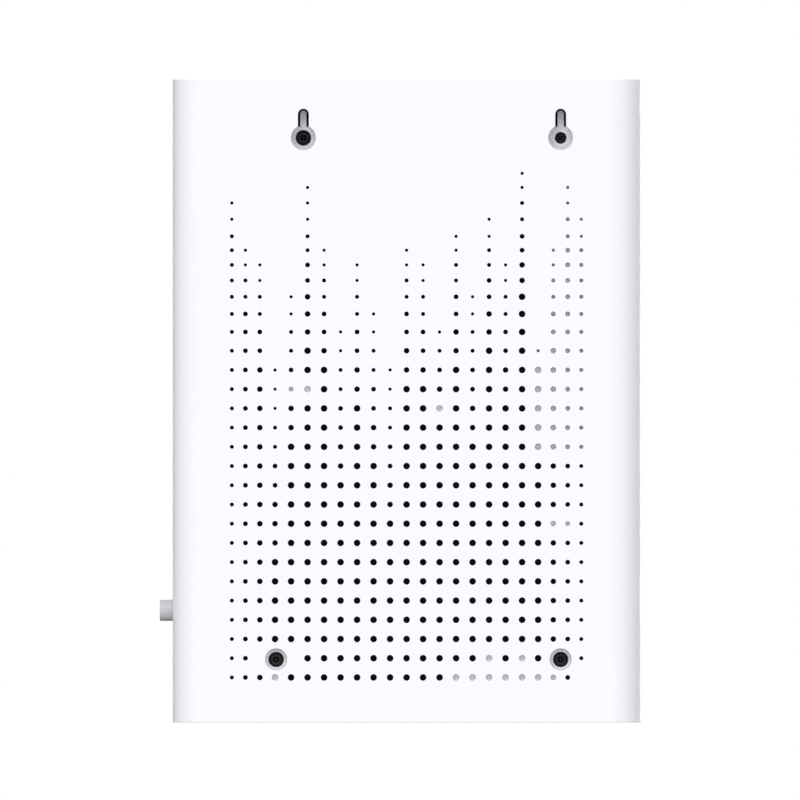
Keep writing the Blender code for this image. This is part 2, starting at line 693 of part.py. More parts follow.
def make_lights():
    """Comb-shaped light guide: a leg over each LED and a tongue in each window."""
    leg, tongue = 1.0, 2.7
    leg_end, bar_high, bar_low, tongue_end = 4.2, -7.0, -9.0, 0.2 - HALF_DEPTH
    half_bar = 27.0
    upper, lower = [], []
    for x in LED_XS:
        upper += [(x - leg, bar_high), (x - leg, leg_end), (x + leg, leg_end), (x + leg, bar_high)]
        lower += [(x - tongue, bar_low), (x - tongue, tongue_end),
                  (x + tongue, tongue_end), (x + tongue, bar_low)]
    points = [(-half_bar, bar_low), (-half_bar, bar_high), *upper,
              (half_bar, bar_high), (half_bar, bar_low), *reversed(lower)]
    outline("light_pipe", points, LED_Z - 0.8, LED_Z + 0.8, "clear_plastic")
    for number, x in enumerate(LED_XS, 1):
        box(f"status_led_{number}", (x - 0.8, 4.6, LED_Z - 0.5), (x + 0.8, SEAT_Y, LED_Z + 0.5),
            "led_resin")


# ---------------------------------------------------------------- electronics

def make_shield_can(name, low, high):
    """Pressed can over a circuit, open towards the board. Corners are (x, z)."""
    top_y, sheet = 2.8, 0.4
    can = box(name, (low[0], top_y, low[1]), (high[0], SEAT_Y, high[1]), "tinned_steel")
    cut(can, box(name + "_hollow", (low[0] + sheet, top_y + sheet, low[1] + sheet),
                 (high[0] - sheet, SEAT_Y + 1, high[1] - sheet)))


def make_chip(name, centre, half, height, look="chip_resin"):
    """Package on the board's front face. Centre and half size are (x, z)."""
    box(name, (centre[0] - half[0], SEAT_Y - height, centre[1] - half[1]),
        (centre[0] + half[0], SEAT_Y, centre[1] + half[1]), look)


def make_heat_sink():
    half_width, base_high, base_low, fin_tip = 16.0, 1.4, -0.6, -8.0
    fins, fin = 7, 1.6
    pitch = (2 * half_width - fin) / (fins - 1)
    points = [(half_width, base_high), (-half_width, base_high)]
    for number in range(fins):
        left = -half_width + number * pitch
        points += [(left, base_low), (left, fin_tip), (left + fin, fin_tip), (left + fin, base_low)]
    points = [point for point in points if point not in ((-half_width, base_low), (half_width, base_low))]
    outline("heat_sink", points, 74.0, 106.0, "aluminium")
    box("thermal_pad", (-14.0, 1.7, 76.0), (14.0, 2.5, 104.0), "silicone_pad")


def make_capacitor(name, x, z):
    radius, height = 4.0, 11.0
    profile = ((0.0, height), (radius - 0.4, height), (radius, height - 0.5),
               (radius, 1.9), (radius - 0.35, 1.6), (radius - 0.35, 1.2), (radius, 0.9),
               (radius, 0.0), (0.0, 0.0))
    turned(name, profile, (x, SEAT_Y, z), (0, -1, 0), "capacitor_sleeve", sides=14)


def make_electronics():
    make_shield_can("main_shield_can", (-20.0, 72.0), (20.0, 108.0))
    make_shield_can("radio_shield_can_1", (-40.0, 122.0), (-10.0, 152.0))
    make_shield_can("radio_shield_can_2", (10.0, 122.0), (40.0, 152.0))
    make_chip("main_processor", (0.0, 90.0), (9.5, 9.5), 1.4)
    make_chip("memory_chip", (32.0, 89.0), (6.5, 5.0), 1.1)
    make_chip("flash_chip", (-34.0, 87.0), (4.0, 3.0), 1.6)
    make_chip("switch_chip", (-1.0, 48.0), (6.0, 6.0), 1.2)
    make_chip("wan_transformer", (-40.7, 33.0), (7.0, 5.0), 5.0)
    make_chip("lan_transformer_1", (-16.0, 31.0), (12.0, 5.0), 5.0)
    make_chip("lan_transformer_2", (16.0, 31.0), (12.0, 5.0), 5.0)
    make_chip("inductor_1", (31.0, 48.0), (5.0, 5.0), 4.0, "ferrite")
    make_chip("inductor_2", (46.0, 62.0), (4.0, 4.0), 3.5, "ferrite")
    make_heat_sink()
    for number, (x, z) in enumerate(((62.0, 24.0), (46.0, 48.0), (58.0, 50.0)), 1):
        make_capacitor(f"capacitor_{number}", x, z)


# ---------------------------------------------------------------- antennas

def make_antennas():
    """Two antennas inside the front wall and two on a white carrier behind the vents."""
    plate_low, plate_high = 12.2, INSIDE_Y - GAP
    carrier = box("antenna_carrier", (-65.0, plate_low, 91.0), (-42.0, plate_high, 186.0),
                  "white_plastic")
    for number, low_z in enumerate((93.0, 181.0), 1):
        join(carrier, box(f"carrier_foot_{number}", (-64.0, BOARD_BACK_Y + GAP, low_z),
                          (-43.0, plate_low + 0.5, low_z + 2.0)))
    front_low, front_high = GAP - INSIDE_Y, GAP - INSIDE_Y + 0.8
    box("antenna_1", (2.0, front_low, 206.0), (46.0, front_high, 214.0), "antenna_board")
    box("antenna_2", (-46.0, front_low, 206.0), (-2.0, front_high, 214.0), "antenna_board")
    box("antenna_3", (-61.0, plate_low - GAP - 0.8, 140.0), (-51.0, plate_low - GAP, 176.0),
        "antenna_board")
    box("antenna_4", (-61.0, plate_low - GAP - 0.8, 98.0), (-51.0, plate_low - GAP, 134.0),
        "antenna_board")
    radius = 0.57
    for number, side in ((1, 1), (2, -1)):
        stops = ((side * 12, -12.3, 205.0), (side * 12, -11.6, 197.0), (side * 14, -6.5, 183.0),
                 (side * 18, 0.5, 170.0), (side * 22, 3.9, 161.0), (side * 23, 4.3, 153.0))
        lead(f"antenna_lead_{number}", stops, radius, "lead_jacket")
    for number, top_z, end_z in ((3, 160.0, 146.0), (4, 116.0, 128.0)):
        stops = ((-50.0, 11.3, top_z), (-46.5, 11.1, top_z), (-41.0, 9.6, (top_z + end_z) / 2),
                 (-36.0, 8.3, end_z), (-30.0, 8.2, end_z))
        lead(f"antenna_lead_{number}", stops, radius, "lead_jacket")


clear_scene()
PARTS = make_collection("wireless_router")
TOOLS = make_collection("cutters")
ROUTER = add_empty("router_base", (0, 0, 0))
make_back_cover()
make_front_cover()
make_port_panel()
make_fasteners()
make_main_board()
make_network_socket("wan_jack", WAN_XS)
for socket_number, socket_xs in enumerate(LAN_XS, 1):
    make_network_socket(f"lan_jack_{socket_number}", socket_xs)
make_usb_port()
make_power_socket()
make_power_button()
make_pairing_button()
make_reset_button()
make_lights()
make_electronics()
make_antennas()
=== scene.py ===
"""Looks of an upright wireless router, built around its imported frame.

Shapes are made in millimetres and turned into metres when a piece is finished. The perforated
back faces +Y, the plain front -Y, the power button is on the +X side and the sockets are below.
"""
import json
import math
import random

import bmesh
import bpy
from mathutils import Matrix, Vector
from mathutils.geometry import delaunay_2d_cdt


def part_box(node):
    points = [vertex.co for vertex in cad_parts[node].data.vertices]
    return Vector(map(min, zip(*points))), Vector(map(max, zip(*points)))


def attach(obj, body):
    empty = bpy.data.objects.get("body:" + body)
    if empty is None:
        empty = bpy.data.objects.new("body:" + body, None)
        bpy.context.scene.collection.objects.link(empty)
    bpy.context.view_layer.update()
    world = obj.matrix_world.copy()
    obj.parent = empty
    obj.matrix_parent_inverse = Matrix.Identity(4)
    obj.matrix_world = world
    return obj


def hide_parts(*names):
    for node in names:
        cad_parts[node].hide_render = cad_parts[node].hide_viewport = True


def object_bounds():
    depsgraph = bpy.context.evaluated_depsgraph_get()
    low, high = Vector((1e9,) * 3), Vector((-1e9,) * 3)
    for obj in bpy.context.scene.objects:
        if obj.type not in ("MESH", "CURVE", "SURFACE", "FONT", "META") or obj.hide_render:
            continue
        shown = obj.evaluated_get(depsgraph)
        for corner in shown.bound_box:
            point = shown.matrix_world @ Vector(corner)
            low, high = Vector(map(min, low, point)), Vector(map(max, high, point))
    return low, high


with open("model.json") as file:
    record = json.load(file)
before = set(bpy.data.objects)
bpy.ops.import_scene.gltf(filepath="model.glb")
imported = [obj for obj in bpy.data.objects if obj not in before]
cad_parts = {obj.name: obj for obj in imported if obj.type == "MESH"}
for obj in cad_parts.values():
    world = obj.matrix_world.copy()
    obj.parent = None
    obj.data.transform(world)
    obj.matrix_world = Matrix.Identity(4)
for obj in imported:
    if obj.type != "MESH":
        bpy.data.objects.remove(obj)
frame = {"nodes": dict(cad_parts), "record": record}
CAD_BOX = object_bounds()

MM = 0.001
GAP = 0.3
SPLIT = 0.01


# ---- sizes from the frame

def box_mm(node):
    """Lowest and highest corner of a node, in millimetres."""
    return [Vector([round(value / MM, 3) for value in corner]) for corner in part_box(node)]


def centre_mm(node):
    low, high = box_mm(node)
    return (low + high) / 2


BACK_LOW, BACK_HIGH = box_mm("back_cover")
FRONT_LOW, FRONT_HIGH = box_mm("front_cover")
HALF_WIDTH = BACK_HIGH.x
HALF_DEPTH = BACK_HIGH.y
HEIGHT = BACK_HIGH.z
SEAM = 0.15
PARTING_Y = BACK_LOW.y - SEAM

# Case
WALL = 2.2
CORNER = 11.0
CORNER_STEPS = 18
END_EASE = 0.25
RIM_EASE = 0.18
INSIDE_X = HALF_WIDTH - WALL
INSIDE_Y = HALF_DEPTH - WALL
INSIDE_CORNER = CORNER - WALL
LIP_BAND = 2.5
LIP_OUTER_X = INSIDE_X - GAP
LIP_INNER_X = LIP_OUTER_X - 1.0

# Fixings
KEYHOLES = [centre_mm(f"case_screw_{number}") for number in (1, 2)]
WELLS = [centre_mm(f"case_screw_{number}") for number in (3, 4)]
BOARD_SCREWS = [centre_mm(f"board_screw_{number}") for number in (1, 2, 3)]
KEYHOLE_RADIUS = 4.25
SLOT_HALF = 1.85
SLOT_ARC_Z = 8.1
POCKET_FLOOR_Y = 10.5
KEYHOLE_DRAFT = 0.35
KEYHOLE_RIM = 0.16
KEYHOLE_SEAT_Y = 7.0
KEYHOLE_TOWER_Y = 5.0
SCREW_HOLE_RADIUS = 1.4
PILOT_RADIUS = 1.5
WELL_RADIUS = 3.75
WELL_LEDGE_RADIUS = 3.15
WELL_LEDGE_Y = 12.3
WELL_SEAT_Y = 9.6
WELL_BOTTOM_Y = 8.0
WELL_WALL_RADIUS = 4.85
WELL_RIM = 0.18

# Vent field: columns count from -11 at the +X side to 11 at the -X side, rows from the top down
VENT_SIDE_COLUMNS = 11
VENT_EVEN_COLUMNS = 7
VENT_PITCH_X = 5.643
VENT_SIDE_GAP = 5.763
VENT_PITCH_Z = 6.573
VENT_UPPER_GAPS = (4.81, 5.31, 5.57, 5.83)
VENT_GAP_START = 4.75
VENT_GAP_STEP = 0.28
VENT_ROWS = 29
VENT_BOTTOM_Z = 15.35
VENT_FIRST_ROWS = (2, 5, 6, 12, 8, 1, 5, 10, 6, 9, 12, 5, 6, 10, 4, 8, 3, 6, 0, 11, 5, 1, 3)
VENT_DIAMETERS = (1.11, 1.39, 1.66, 1.93, 2.28)
VENT_ROWS_PER_SIZE = 2.0
VENT_QUICK_COLUMNS = {2: 1.7, 6: 1.7, 12: 1.7, 13: 1.0, 19: 0.25}
VENT_SLOW_COLUMNS = {3: 2.3, 5: 2.3}
VENT_CLEAR_OF_WELL = 5.8
VENT_RIM = 0.09
VENT_SIDES = 24

BOARD_LOW, BOARD_HIGH = box_mm("main_board")
BUTTON = centre_mm("power_button")
BUTTON_AXIS = Vector((0.0, PARTING_Y, BUTTON.z))
BUTTON_HOLE_RADIUS = 4.05
LEDS = [centre_mm(f"status_led_{number}") for number in range(1, 5)]

# Block of the port panel that fills the opening in the bottom end
PANEL_HALF_X = 75.0
PANEL_FRONT_Y = -10.5
PANEL_BACK_Y = 8.5

# Light: a wide glow that is strongest along a direction, and suns, each with its strength, its
# spread in degrees and the direction that it comes from
GLOW_LEAN = (0.06, 1.18, 0.78)
GLOW_LEVEL = 0.593
SUNS = {
    "key": (0.66, 25, (0.22, 0.80, 0.62)),
    "fill": (2.5, 50, (-0.1, -1.0, 0.25)),
    "side": (0.25, 20, (-1.0, -0.9, 0.1)),
}

# Camera, in metres: width of its view, and how far off the middle of the object it looks
VIEW_WIDTH = 0.2736
VIEW_ASIDE = 0.00005
VIEW_ABOVE = 0.00025


# ---- shape helpers

def block(low, high, ease=0.0, steps=3, shape=None):
    """Box between two corners, with all its edges eased."""
    low, high = Vector(low), Vector(high)
    shape = shape or bmesh.new()
    place = Matrix.Translation((low + high) / 2) @ Matrix.Diagonal((*(high - low), 1.0))
    corners = bmesh.ops.create_cube(shape, size=1.0, matrix=place)["verts"]
    if ease:
        edges = dict.fromkeys(edge for corner in corners for edge in corner.link_edges)
        soften(shape, list(edges), ease, steps)
    return shape


def soften(shape, edges, radius, steps=3):
    bmesh.ops.bevel(shape, geom=edges, offset=radius, segments=steps, profile=0.5,
                    affect="EDGES", clamp_overlap=True)


def edges_where(shape, test):
    """Edges whose two ends both pass a test."""
    return [edge for edge in shape.edges if all(test(vert.co) for vert in edge.verts)]


def edges_along(shape, axis, test=lambda place: True):
    return [edge for edge in edges_where(shape, test)
            if abs((edge.verts[1].co - edge.verts[0].co).normalized()[axis]) > 0.999]


def flat_edges(shape):
    """Edges that stay at one Y level."""
    return [edge for edge in shape.edges if abs(edge.verts[0].co.y - edge.verts[1].co.y) < SPLIT]


def skin(shape, rings):
    """Join rings of points, or single points, into one skin."""
    rows = [[shape.verts.new(point) for point in ring] for ring in rings]
    for above, below in zip(rows, rows[1:]):
        count = max(len(above), len(below))
        for here in range(count):
            after = (here + 1) % count
            corners = (above[here % len(above)], above[after % len(above)],
                       below[after % len(below)], below[here % len(below)])
            shape.faces.new(dict.fromkeys(corners))
    return rows


def facing(base, direction):
    """Turns local +Z towards a direction, with the origin at a base point."""
    return Matrix.Translation(base) @ Vector(direction).to_track_quat("Z", "Y").to_matrix().to_4x4()


def arc(across, up, radius, steps, start=0.0, sweep=math.tau):
    """Points in a plane along an arc round a centre, with both its ends."""
    turns = [start + sweep * step / steps for step in range(steps + 1)]
    return [(across + radius * math.cos(turn), up + radius * math.sin(turn)) for turn in turns]


def circle(place, radius, height, steps):
    """Ring round the local Z axis of a place, or one point where the radius is zero."""
    if radius == 0.0:
        return [place @ Vector((0.0, 0.0, height))]
    return [place @ Vector((*spot, height)) for spot in arc(0.0, 0.0, radius, steps)[:-1]]


def eased(profile, radius, steps=3):
    """The same profile with its inner corners rounded."""
    result = [Vector(profile[0])]
    for before, corner, after in zip(profile, profile[1:], profile[2:]):
        corner = Vector(corner)
        back, on = Vector(before) - corner, Vector(after) - corner
        reach = min(radius, back.length * 0.45, on.length * 0.45)
        start, end = corner + back.normalized() * reach, corner + on.normalized() * reach
        for step in range(steps + 1):
            share = step / steps
            result.append(start.lerp(corner, share).lerp(corner.lerp(end, share), share))
    result.append(Vector(profile[-1]))
    return result


def turned(profile, base, direction, steps=48, shape=None):
    """Turned body; its profile of (radius, height) points runs from one end of the axis to the other."""
    shape = shape or bmesh.new()
    place = facing(base, direction)
    skin(shape, [circle(place, radius, height, steps) for radius, height in profile])
    return shape


def rod(place, first, last, radius, steps=32, ease=0.0, axis=1):
    """Cylinder through a place, between two levels on an axis, its end edges eased."""
    start, end = Vector(place), Vector(place)
    start[axis], end[axis] = first, last
    run = end - start
    profile = [(0.0, 0.0), (radius, 0.0), (radius, run.length), (0.0, run.length)]
    if ease:
        profile = eased(profile, ease)
    return turned(profile, start, run, steps)


def prism(points, low, high, axis=2):
    """Flat outline swept along an axis; its points are given in the other two axes, in order."""
    def spot(point, level):
        place = list(point)
        place.insert(axis, level)
        return Vector(place)

    shape = bmesh.new()
    rows = skin(shape, [[spot(point, level) for point in points] for level in (low, high)])
    shape.faces.new(rows[0])
    shape.faces.new(rows[1])
    bmesh.ops.recalc_face_normals(shape, faces=shape.faces)
    return shape


def round_rectangle(low, high, radius, steps=6):
    """Rectangle with round corners, as points in a plane."""
    centres = ((high[0] - radius, high[1] - radius), (low[0] + radius, high[1] - radius),
               (low[0] + radius, low[1] + radius), (high[0] - radius, low[1] + radius))
    points = []
    for quarter, (across, up) in enumerate(centres):
        for step in range(steps + 1):
            turn = math.pi / 2 * (quarter + step / steps)
            points.append((across + radius * math.cos(turn), up + radius * math.sin(turn)))
    return points


def slab(low, high, radius, axis=2):
    """Block between two corners, with round corners about one axis."""
    across, up = (other for other in range(3) if other != axis)
    outline = round_rectangle((low[across], low[up]), (high[across], high[up]), radius)
    return prism(outline, low[axis], high[axis], axis)


def smooth_route(stops, steps):
    """Points on a smooth curve through the stops."""
    stops = [Vector(stop) for stop in stops]
    ends = [stops[0] * 2 - stops[1]] + stops + [stops[-1] * 2 - stops[-2]]
    route = []
    for a, b, c, d in zip(ends, ends[1:], ends[2:], ends[3:]):
        for step in range(steps):
            t = step / steps
            route.append(0.5 * (2 * b + (c - a) * t + (2 * a - 5 * b + 4 * c - d) * t ** 2
                                + (3 * b - a - 3 * c + d) * t ** 3))
    route.append(stops[-1])
    return route


def wire(route, radius, sides=12, shape=None):
    """Round wire along a route, with flat ends."""
    shape = shape or bmesh.new()
    rings = []
    before = None
    for number, point in enumerate(route):
        along = (route[min(number + 1, len(route) - 1)] - route[max(number - 1, 0)]).normalized()
        turn = before.rotation_difference(along) @ turn if before else along.to_track_quat("Z", "Y")
        before = along
        place = Matrix.Translation(point) @ turn.to_matrix().to_4x4()
        rings.append(circle(place, radius, 0.0, sides))
    skin(shape, [[route[0]], *rings, [route[-1]]])
    return shape


def as_mesh(shape, name="scratch", orient=True):
    """A shape as a mesh; the shape is used up."""
    if orient:
        bmesh.ops.recalc_face_normals(shape, faces=shape.faces)
    mesh = bpy.data.meshes.new(name)
    shape.to_mesh(mesh)
    shape.free()
    return mesh


def as_object(mesh):
    item = bpy.data.objects.new(mesh.name, mesh)
    bpy.context.scene.collection.objects.link(item)
    return item


def combined(shape, tools, operation):
    """A shape cut by, or joined with, other shapes."""
    target = as_object(as_mesh(shape))
    others = [as_object(as_mesh(tool)) for tool in tools]
    for other in others:
        change = target.modifiers.new("change", "BOOLEAN")
        change.operation = operation
        change.solver = "EXACT"
        change.object = other
    view = bpy.context.evaluated_depsgraph_get()
    mesh = bpy.data.meshes.new_from_object(target.evaluated_get(view))
    result = bmesh.new()
    result.from_mesh(mesh)
    for item in (target, *others):
        bpy.data.objects.remove(item, do_unlink=True)
    bpy.data.meshes.remove(mesh)
    return result


def cut(shape, *tools):
    return combined(shape, tools, "DIFFERENCE")


def join(shape, *tools):
    return combined(shape, tools, "UNION")


def together(*shapes):
    """Several closed bodies in one mesh."""
    result = bmesh.new()
    for shape in shapes:
        mesh = as_mesh(shape)
        result.from_mesh(mesh)
        bpy.data.meshes.remove(mesh)
    return result


def finish_piece(name, shape, slot, replaces=(), body="housing", sharp=35, orient=True):
    """Turn a shape into a piece in metres that rides on a body."""
    mesh = as_mesh(shape, name, orient)
    mesh.transform(Matrix.Scale(MM, 4))
    mesh.shade_smooth()
    mesh.set_sharp_from_angle(angle=math.radians(sharp))
    mesh.materials.append(MATERIALS[slot])
    piece = as_object(mesh)
    even = piece.modifiers.new("even_shading", "WEIGHTED_NORMAL")
    even.keep_sharp = True
    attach(piece, body)
    if replaces:
        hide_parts(*replaces)


# ---- materials

class Tree:
    """Shader nodes under construction."""

    def __init__(self, tree):
        self.tree = tree

    def node(self, kind, **settings):
        made = self.tree.nodes.new(kind)
        for key, value in settings.items():
            setattr(made, key, value)
        return made

    def feed(self, socket, value):
        """Link an output to a socket, or set the socket to a plain value."""
        if isinstance(value, bpy.types.NodeSocket):
            self.tree.links.new(value, socket)
        else:
            socket.default_value = value

    def calc(self, first, second, operation="ADD"):
        """Sum of two values, or another operation on them."""
        step = self.node("ShaderNodeMath", operation=operation)
        self.feed(step.inputs[0], first)
        self.feed(step.inputs[1], second)
        return step.outputs[0]


class Look(Tree):
    """A material under construction: its nodes, and the shader that they feed."""

    def __init__(self, name, **shader_values):
        self.material = bpy.data.materials.new(name)
        self.material.use_nodes = True
        super().__init__(self.material.node_tree)
        self.shader = self.tree.nodes["Principled BSDF"]
        for socket, value in shader_values.items():
            self.shader.inputs[socket.replace("_", " ")].default_value = value
        self.place = self.node("ShaderNodeTexCoord").outputs["Object"]

    def noise(self, size_mm, detail=2.0, stretch=None, roughness=0.5):
        """Noise with features of about one size; stretch squeezes it along chosen axes."""
        texture = self.node("ShaderNodeTexNoise")
        texture.inputs["Scale"].default_value = 1.0 / (size_mm * MM)
        texture.inputs["Detail"].default_value = detail
        texture.inputs["Roughness"].default_value = roughness
        place = self.place
        if stretch:
            mapping = self.node("ShaderNodeMapping")
            mapping.inputs["Scale"].default_value = stretch
            self.feed(mapping.inputs["Vector"], place)
            place = mapping.outputs["Vector"]
        self.feed(texture.inputs["Vector"], place)
        return texture.outputs["Fac"]

    def spread(self, value, low, high, to_low=0.0, to_high=1.0):
        """Map a stretch of values to another, clamped."""
        mapped = self.node("ShaderNodeMapRange")
        for socket, number in zip(mapped.inputs[1:5], (low, high, to_low, to_high)):
            socket.default_value = number
        self.feed(mapped.inputs["Value"], value)
        return mapped.outputs["Result"]

    def blend(self, share, first, second):
        """Mix of two colours."""
        mix = self.node("ShaderNodeMix", data_type="RGBA")
        self.feed(mix.inputs[0], share)
        self.feed(mix.inputs[6], first)
        self.feed(mix.inputs[7], second)
        return mix.outputs[2]

    def edges(self, radius_mm):
        """About 1 on rounded edges, 0 on flats, from how far the smoothed normal turns away."""
        round_normal = self.node("ShaderNodeBevel", samples=4)
        round_normal.inputs["Radius"].default_value = radius_mm * MM
        plain = self.node("ShaderNodeNewGeometry").outputs["Normal"]
        match = self.node("ShaderNodeVectorMath", operation="DOT_PRODUCT")
        self.feed(match.inputs[0], round_normal.outputs["Normal"])
        self.feed(match.inputs[1], plain)
        return self.spread(match.outputs["Value"], 0.995, 0.90)

    def bump(self, height, depth_mm, strength):
        bump = self.node("ShaderNodeBump")
        bump.inputs["Strength"].default_value = strength
        bump.inputs["Distance"].default_value = depth_mm * MM
        self.feed(bump.inputs["Height"], height)
        self.feed(self.shader.inputs["Normal"], bump.outputs["Normal"])

    def colour(self, value):
        self.feed(self.shader.inputs["Base Color"], value)

    def roughness(self, value):
        self.feed(self.shader.inputs["Roughness"], value)


def shade(colour, factor):
    return (*(min(1.0, channel * factor) for channel in colour), 1.0)


def moulded_plastic(name, colour, roughness, grain_mm=0.35, grain_depth=0.012, variation=0.03,
                    edge_wear_and_highlight=1.06, specular=0.5):
    """Moulded plastic: fine spark grain, slow shade drift, glossier edges painted lighter, partly as rubbed
    wear and partly as a painted edge highlight.
    """
    look = Look(name, Specular_IOR_Level=specular)
    drift = look.noise(38.0, detail=3.0)
    speck = look.noise(0.9)
    tone = look.blend(look.spread(drift, 0.35, 0.65),
                      shade(colour, 1.0 - variation), shade(colour, 1.0 + variation / 3))
    tone = look.blend(look.spread(speck, 0.55, 0.75, 0.0, 0.35), tone, shade(colour, 1.0 - variation))
    # Rounded edges are painted lighter in noisy patches: partly rubbed wear, partly a painted edge highlight.
    rounded_edge_mask = look.edges(0.35)
    wear_and_highlight_patches = look.spread(look.noise(3.0, detail=4.0), 0.40, 0.62, 0.15, 0.9)
    edge = look.calc(rounded_edge_mask, wear_and_highlight_patches, "MULTIPLY")
    look.colour(look.blend(edge, tone, shade(colour, edge_wear_and_highlight)))
    grain = look.noise(grain_mm)
    rough = look.spread(look.noise(11.0, detail=5.0, roughness=0.65), 0.35, 0.65,
                        roughness - 0.05, roughness + 0.05)
    rough = look.calc(rough, look.calc(edge, -0.12, "MULTIPLY"))
    look.roughness(look.calc(rough, look.spread(grain, 0.4, 0.6, -0.02, 0.02)))
    look.bump(grain, grain_depth, 0.35)
    return look.material


def sheet_metal(name, colour, roughness, stretch=(1.0, 1.0, 22.0), tarnish=0.82, depth=0.004):
    """Rolled or drawn metal: fine lines along the sheet, light tarnish, edges painted brighter, partly as
    worn bare metal and partly as a painted edge highlight.
    """
    look = Look(name, Metallic=1.0)
    lines = look.noise(2.4, detail=5.0, stretch=stretch, roughness=0.7)
    cloud = look.noise(9.0, detail=4.0)
    tone = look.blend(look.spread(cloud, 0.35, 0.70), shade(colour, 1.0), shade(colour, tarnish))
    tone = look.blend(look.spread(lines, 0.3, 0.7, 0.0, 0.25), tone, shade(colour, tarnish))
    # Rounded edges are painted brighter in noisy patches: partly worn bare metal, partly a painted edge
    # highlight.
    edge = look.calc(look.edges(0.25), look.spread(look.noise(1.5), 0.4, 0.6, 0.3, 1.0), "MULTIPLY")
    look.colour(look.blend(edge, tone, shade(colour, 1.25)))
    rough = look.calc(look.spread(lines, 0.3, 0.7, roughness - 0.07, roughness + 0.10),
                     look.spread(cloud, 0.4, 0.7, 0.0, 0.10))
    look.roughness(rough)
    look.bump(lines, depth, 0.4)
    return look.material


def board_mask(name, colour, roughness, track):
    """Solder mask over copper: patches of parallel tracks both ways, small vias, glass weave."""
    look = Look(name, Specular_IOR_Level=0.3)
    axes = look.node("ShaderNodeSeparateXYZ")
    look.feed(axes.inputs[0], look.place)
    patches = look.node("ShaderNodeTexVoronoi", feature="F1", distance="CHEBYCHEV")
    patches.inputs["Scale"].default_value = 1.0 / (11.0 * MM)
    look.feed(patches.inputs["Vector"], look.place)
    kind = look.node("ShaderNodeSeparateColor")
    look.feed(kind.inputs[0], patches.outputs["Color"])

    def lines(axis, pitch_mm):
        wave = look.calc(axes.outputs[axis], pitch_mm * MM, "PINGPONG")
        return look.spread(wave, 0.20 * MM, 0.26 * MM, 1.0, 0.0)

    both = look.blend(look.spread(kind.outputs[0], 0.49, 0.51), lines("X", 0.9), lines("Z", 0.7))
    shown = look.spread(kind.outputs[1], 0.54, 0.56, 1.0, 0.0)
    tracks = look.calc(both, shown, "MULTIPLY")
    dots = look.node("ShaderNodeTexVoronoi", feature="F1")
    dots.inputs["Scale"].default_value = 1.0 / (2.1 * MM)
    look.feed(dots.inputs["Vector"], look.place)
    vias = look.spread(dots.outputs["Distance"], 0.10, 0.14, 1.0, 0.0)
    weave = look.noise(0.5, detail=1.0, stretch=(1.0, 1.0, 3.0))
    drift = look.spread(look.noise(15.0), 0.4, 0.6)
    tone = look.blend(drift, shade(colour, 0.85), shade(colour, 1.1))
    tone = look.blend(tracks, tone, shade(track, 1.0))
    look.colour(look.blend(look.calc(vias, 0.6, "MULTIPLY"), tone, shade(track, 1.6)))
    look.roughness(look.calc(look.spread(look.noise(2.5), 0.3, 0.7, roughness - 0.06, roughness + 0.06),
                            look.calc(tracks, -0.05, "MULTIPLY")))
    height = look.calc(look.calc(tracks, 0.6, "MULTIPLY"), look.calc(weave, 0.25, "MULTIPLY"))
    look.bump(height, 0.03, 0.5)
    return look.material


def clear_plastic(name):
    """Light guide: milky acrylic with faint haze and mould marks."""
    look = Look(name, IOR=1.49, Transmission_Weight=0.40)
    haze = look.noise(1.8, detail=3.0)
    cloud = look.spread(haze, 0.4, 0.6)
    look.colour(look.blend(cloud, (0.86, 0.89, 0.90, 1.0), (0.93, 0.95, 0.96, 1.0)))
    look.roughness(look.spread(haze, 0.3, 0.7, 0.12, 0.26))
    look.bump(look.noise(0.6), 0.004, 0.2)
    return look.material


# Looks by slot: colour, roughness and what differs from the usual settings of that kind of look
# The edge factor in these settings lightens rounded edges: partly rubbed wear, partly a painted edge
# highlight.
PLASTICS = {
    "white_case": ((0.80, 0.794, 0.838), 0.46, dict(grain_depth=0.006, variation=0.012, edge_wear_and_highlight=1.03)),
    "grey_button": ((0.48, 0.48, 0.50), 0.34, dict(grain_depth=0.004, edge_wear_and_highlight=1.12, specular=0.35)),
    "white_plastic": ((0.84, 0.84, 0.83), 0.52, dict(variation=0.04)),
    "black_plastic": ((0.022, 0.022, 0.024), 0.50, dict(grain_depth=0.018, variation=0.12, edge_wear_and_highlight=1.9)),
    "led_resin": ((0.86, 0.84, 0.66), 0.30, dict(variation=0.05)),
    "chip_resin": ((0.030, 0.030, 0.031), 0.58,
                   dict(grain_mm=0.15, grain_depth=0.02, variation=0.15, edge_wear_and_highlight=1.8)),
    "silicone_pad": ((0.34, 0.41, 0.54), 0.80, dict(grain_mm=0.6, grain_depth=0.03, variation=0.08)),
    "capacitor_sleeve": ((0.045, 0.055, 0.10), 0.30, dict(variation=0.10, edge_wear_and_highlight=1.6)),
    "ferrite": ((0.085, 0.085, 0.085), 0.72,
                dict(grain_mm=0.25, grain_depth=0.03, variation=0.20, edge_wear_and_highlight=1.5)),
    "lead_jacket": ((0.028, 0.028, 0.030), 0.48, dict(variation=0.12, edge_wear_and_highlight=1.5)),
}
METALS = {
    "black_steel": ((0.040, 0.040, 0.042), 0.46, dict(stretch=(1.0, 6.0, 1.0), tarnish=0.7)),
    "tinned_steel": ((0.58, 0.58, 0.56), 0.34, {}),
    "aluminium": ((0.72, 0.73, 0.75), 0.36, dict(stretch=(30.0, 1.0, 1.0))),
    "brass": ((0.83, 0.64, 0.30), 0.26, dict(stretch=(1.0, 1.0, 12.0))),
}
BOARDS = {
    # The main board and its tracks are near black, darker than real solder mask: partly the board's black
    # mask, partly painted shade for the dark inside of the case seen through the vents.
    "solder_mask": ((0.004, 0.0055, 0.005), 0.45, dict(track=(0.008, 0.011, 0.009))),
    "antenna_board": ((0.016, 0.042, 0.026), 0.42, dict(track=(0.05, 0.10, 0.05))),
}


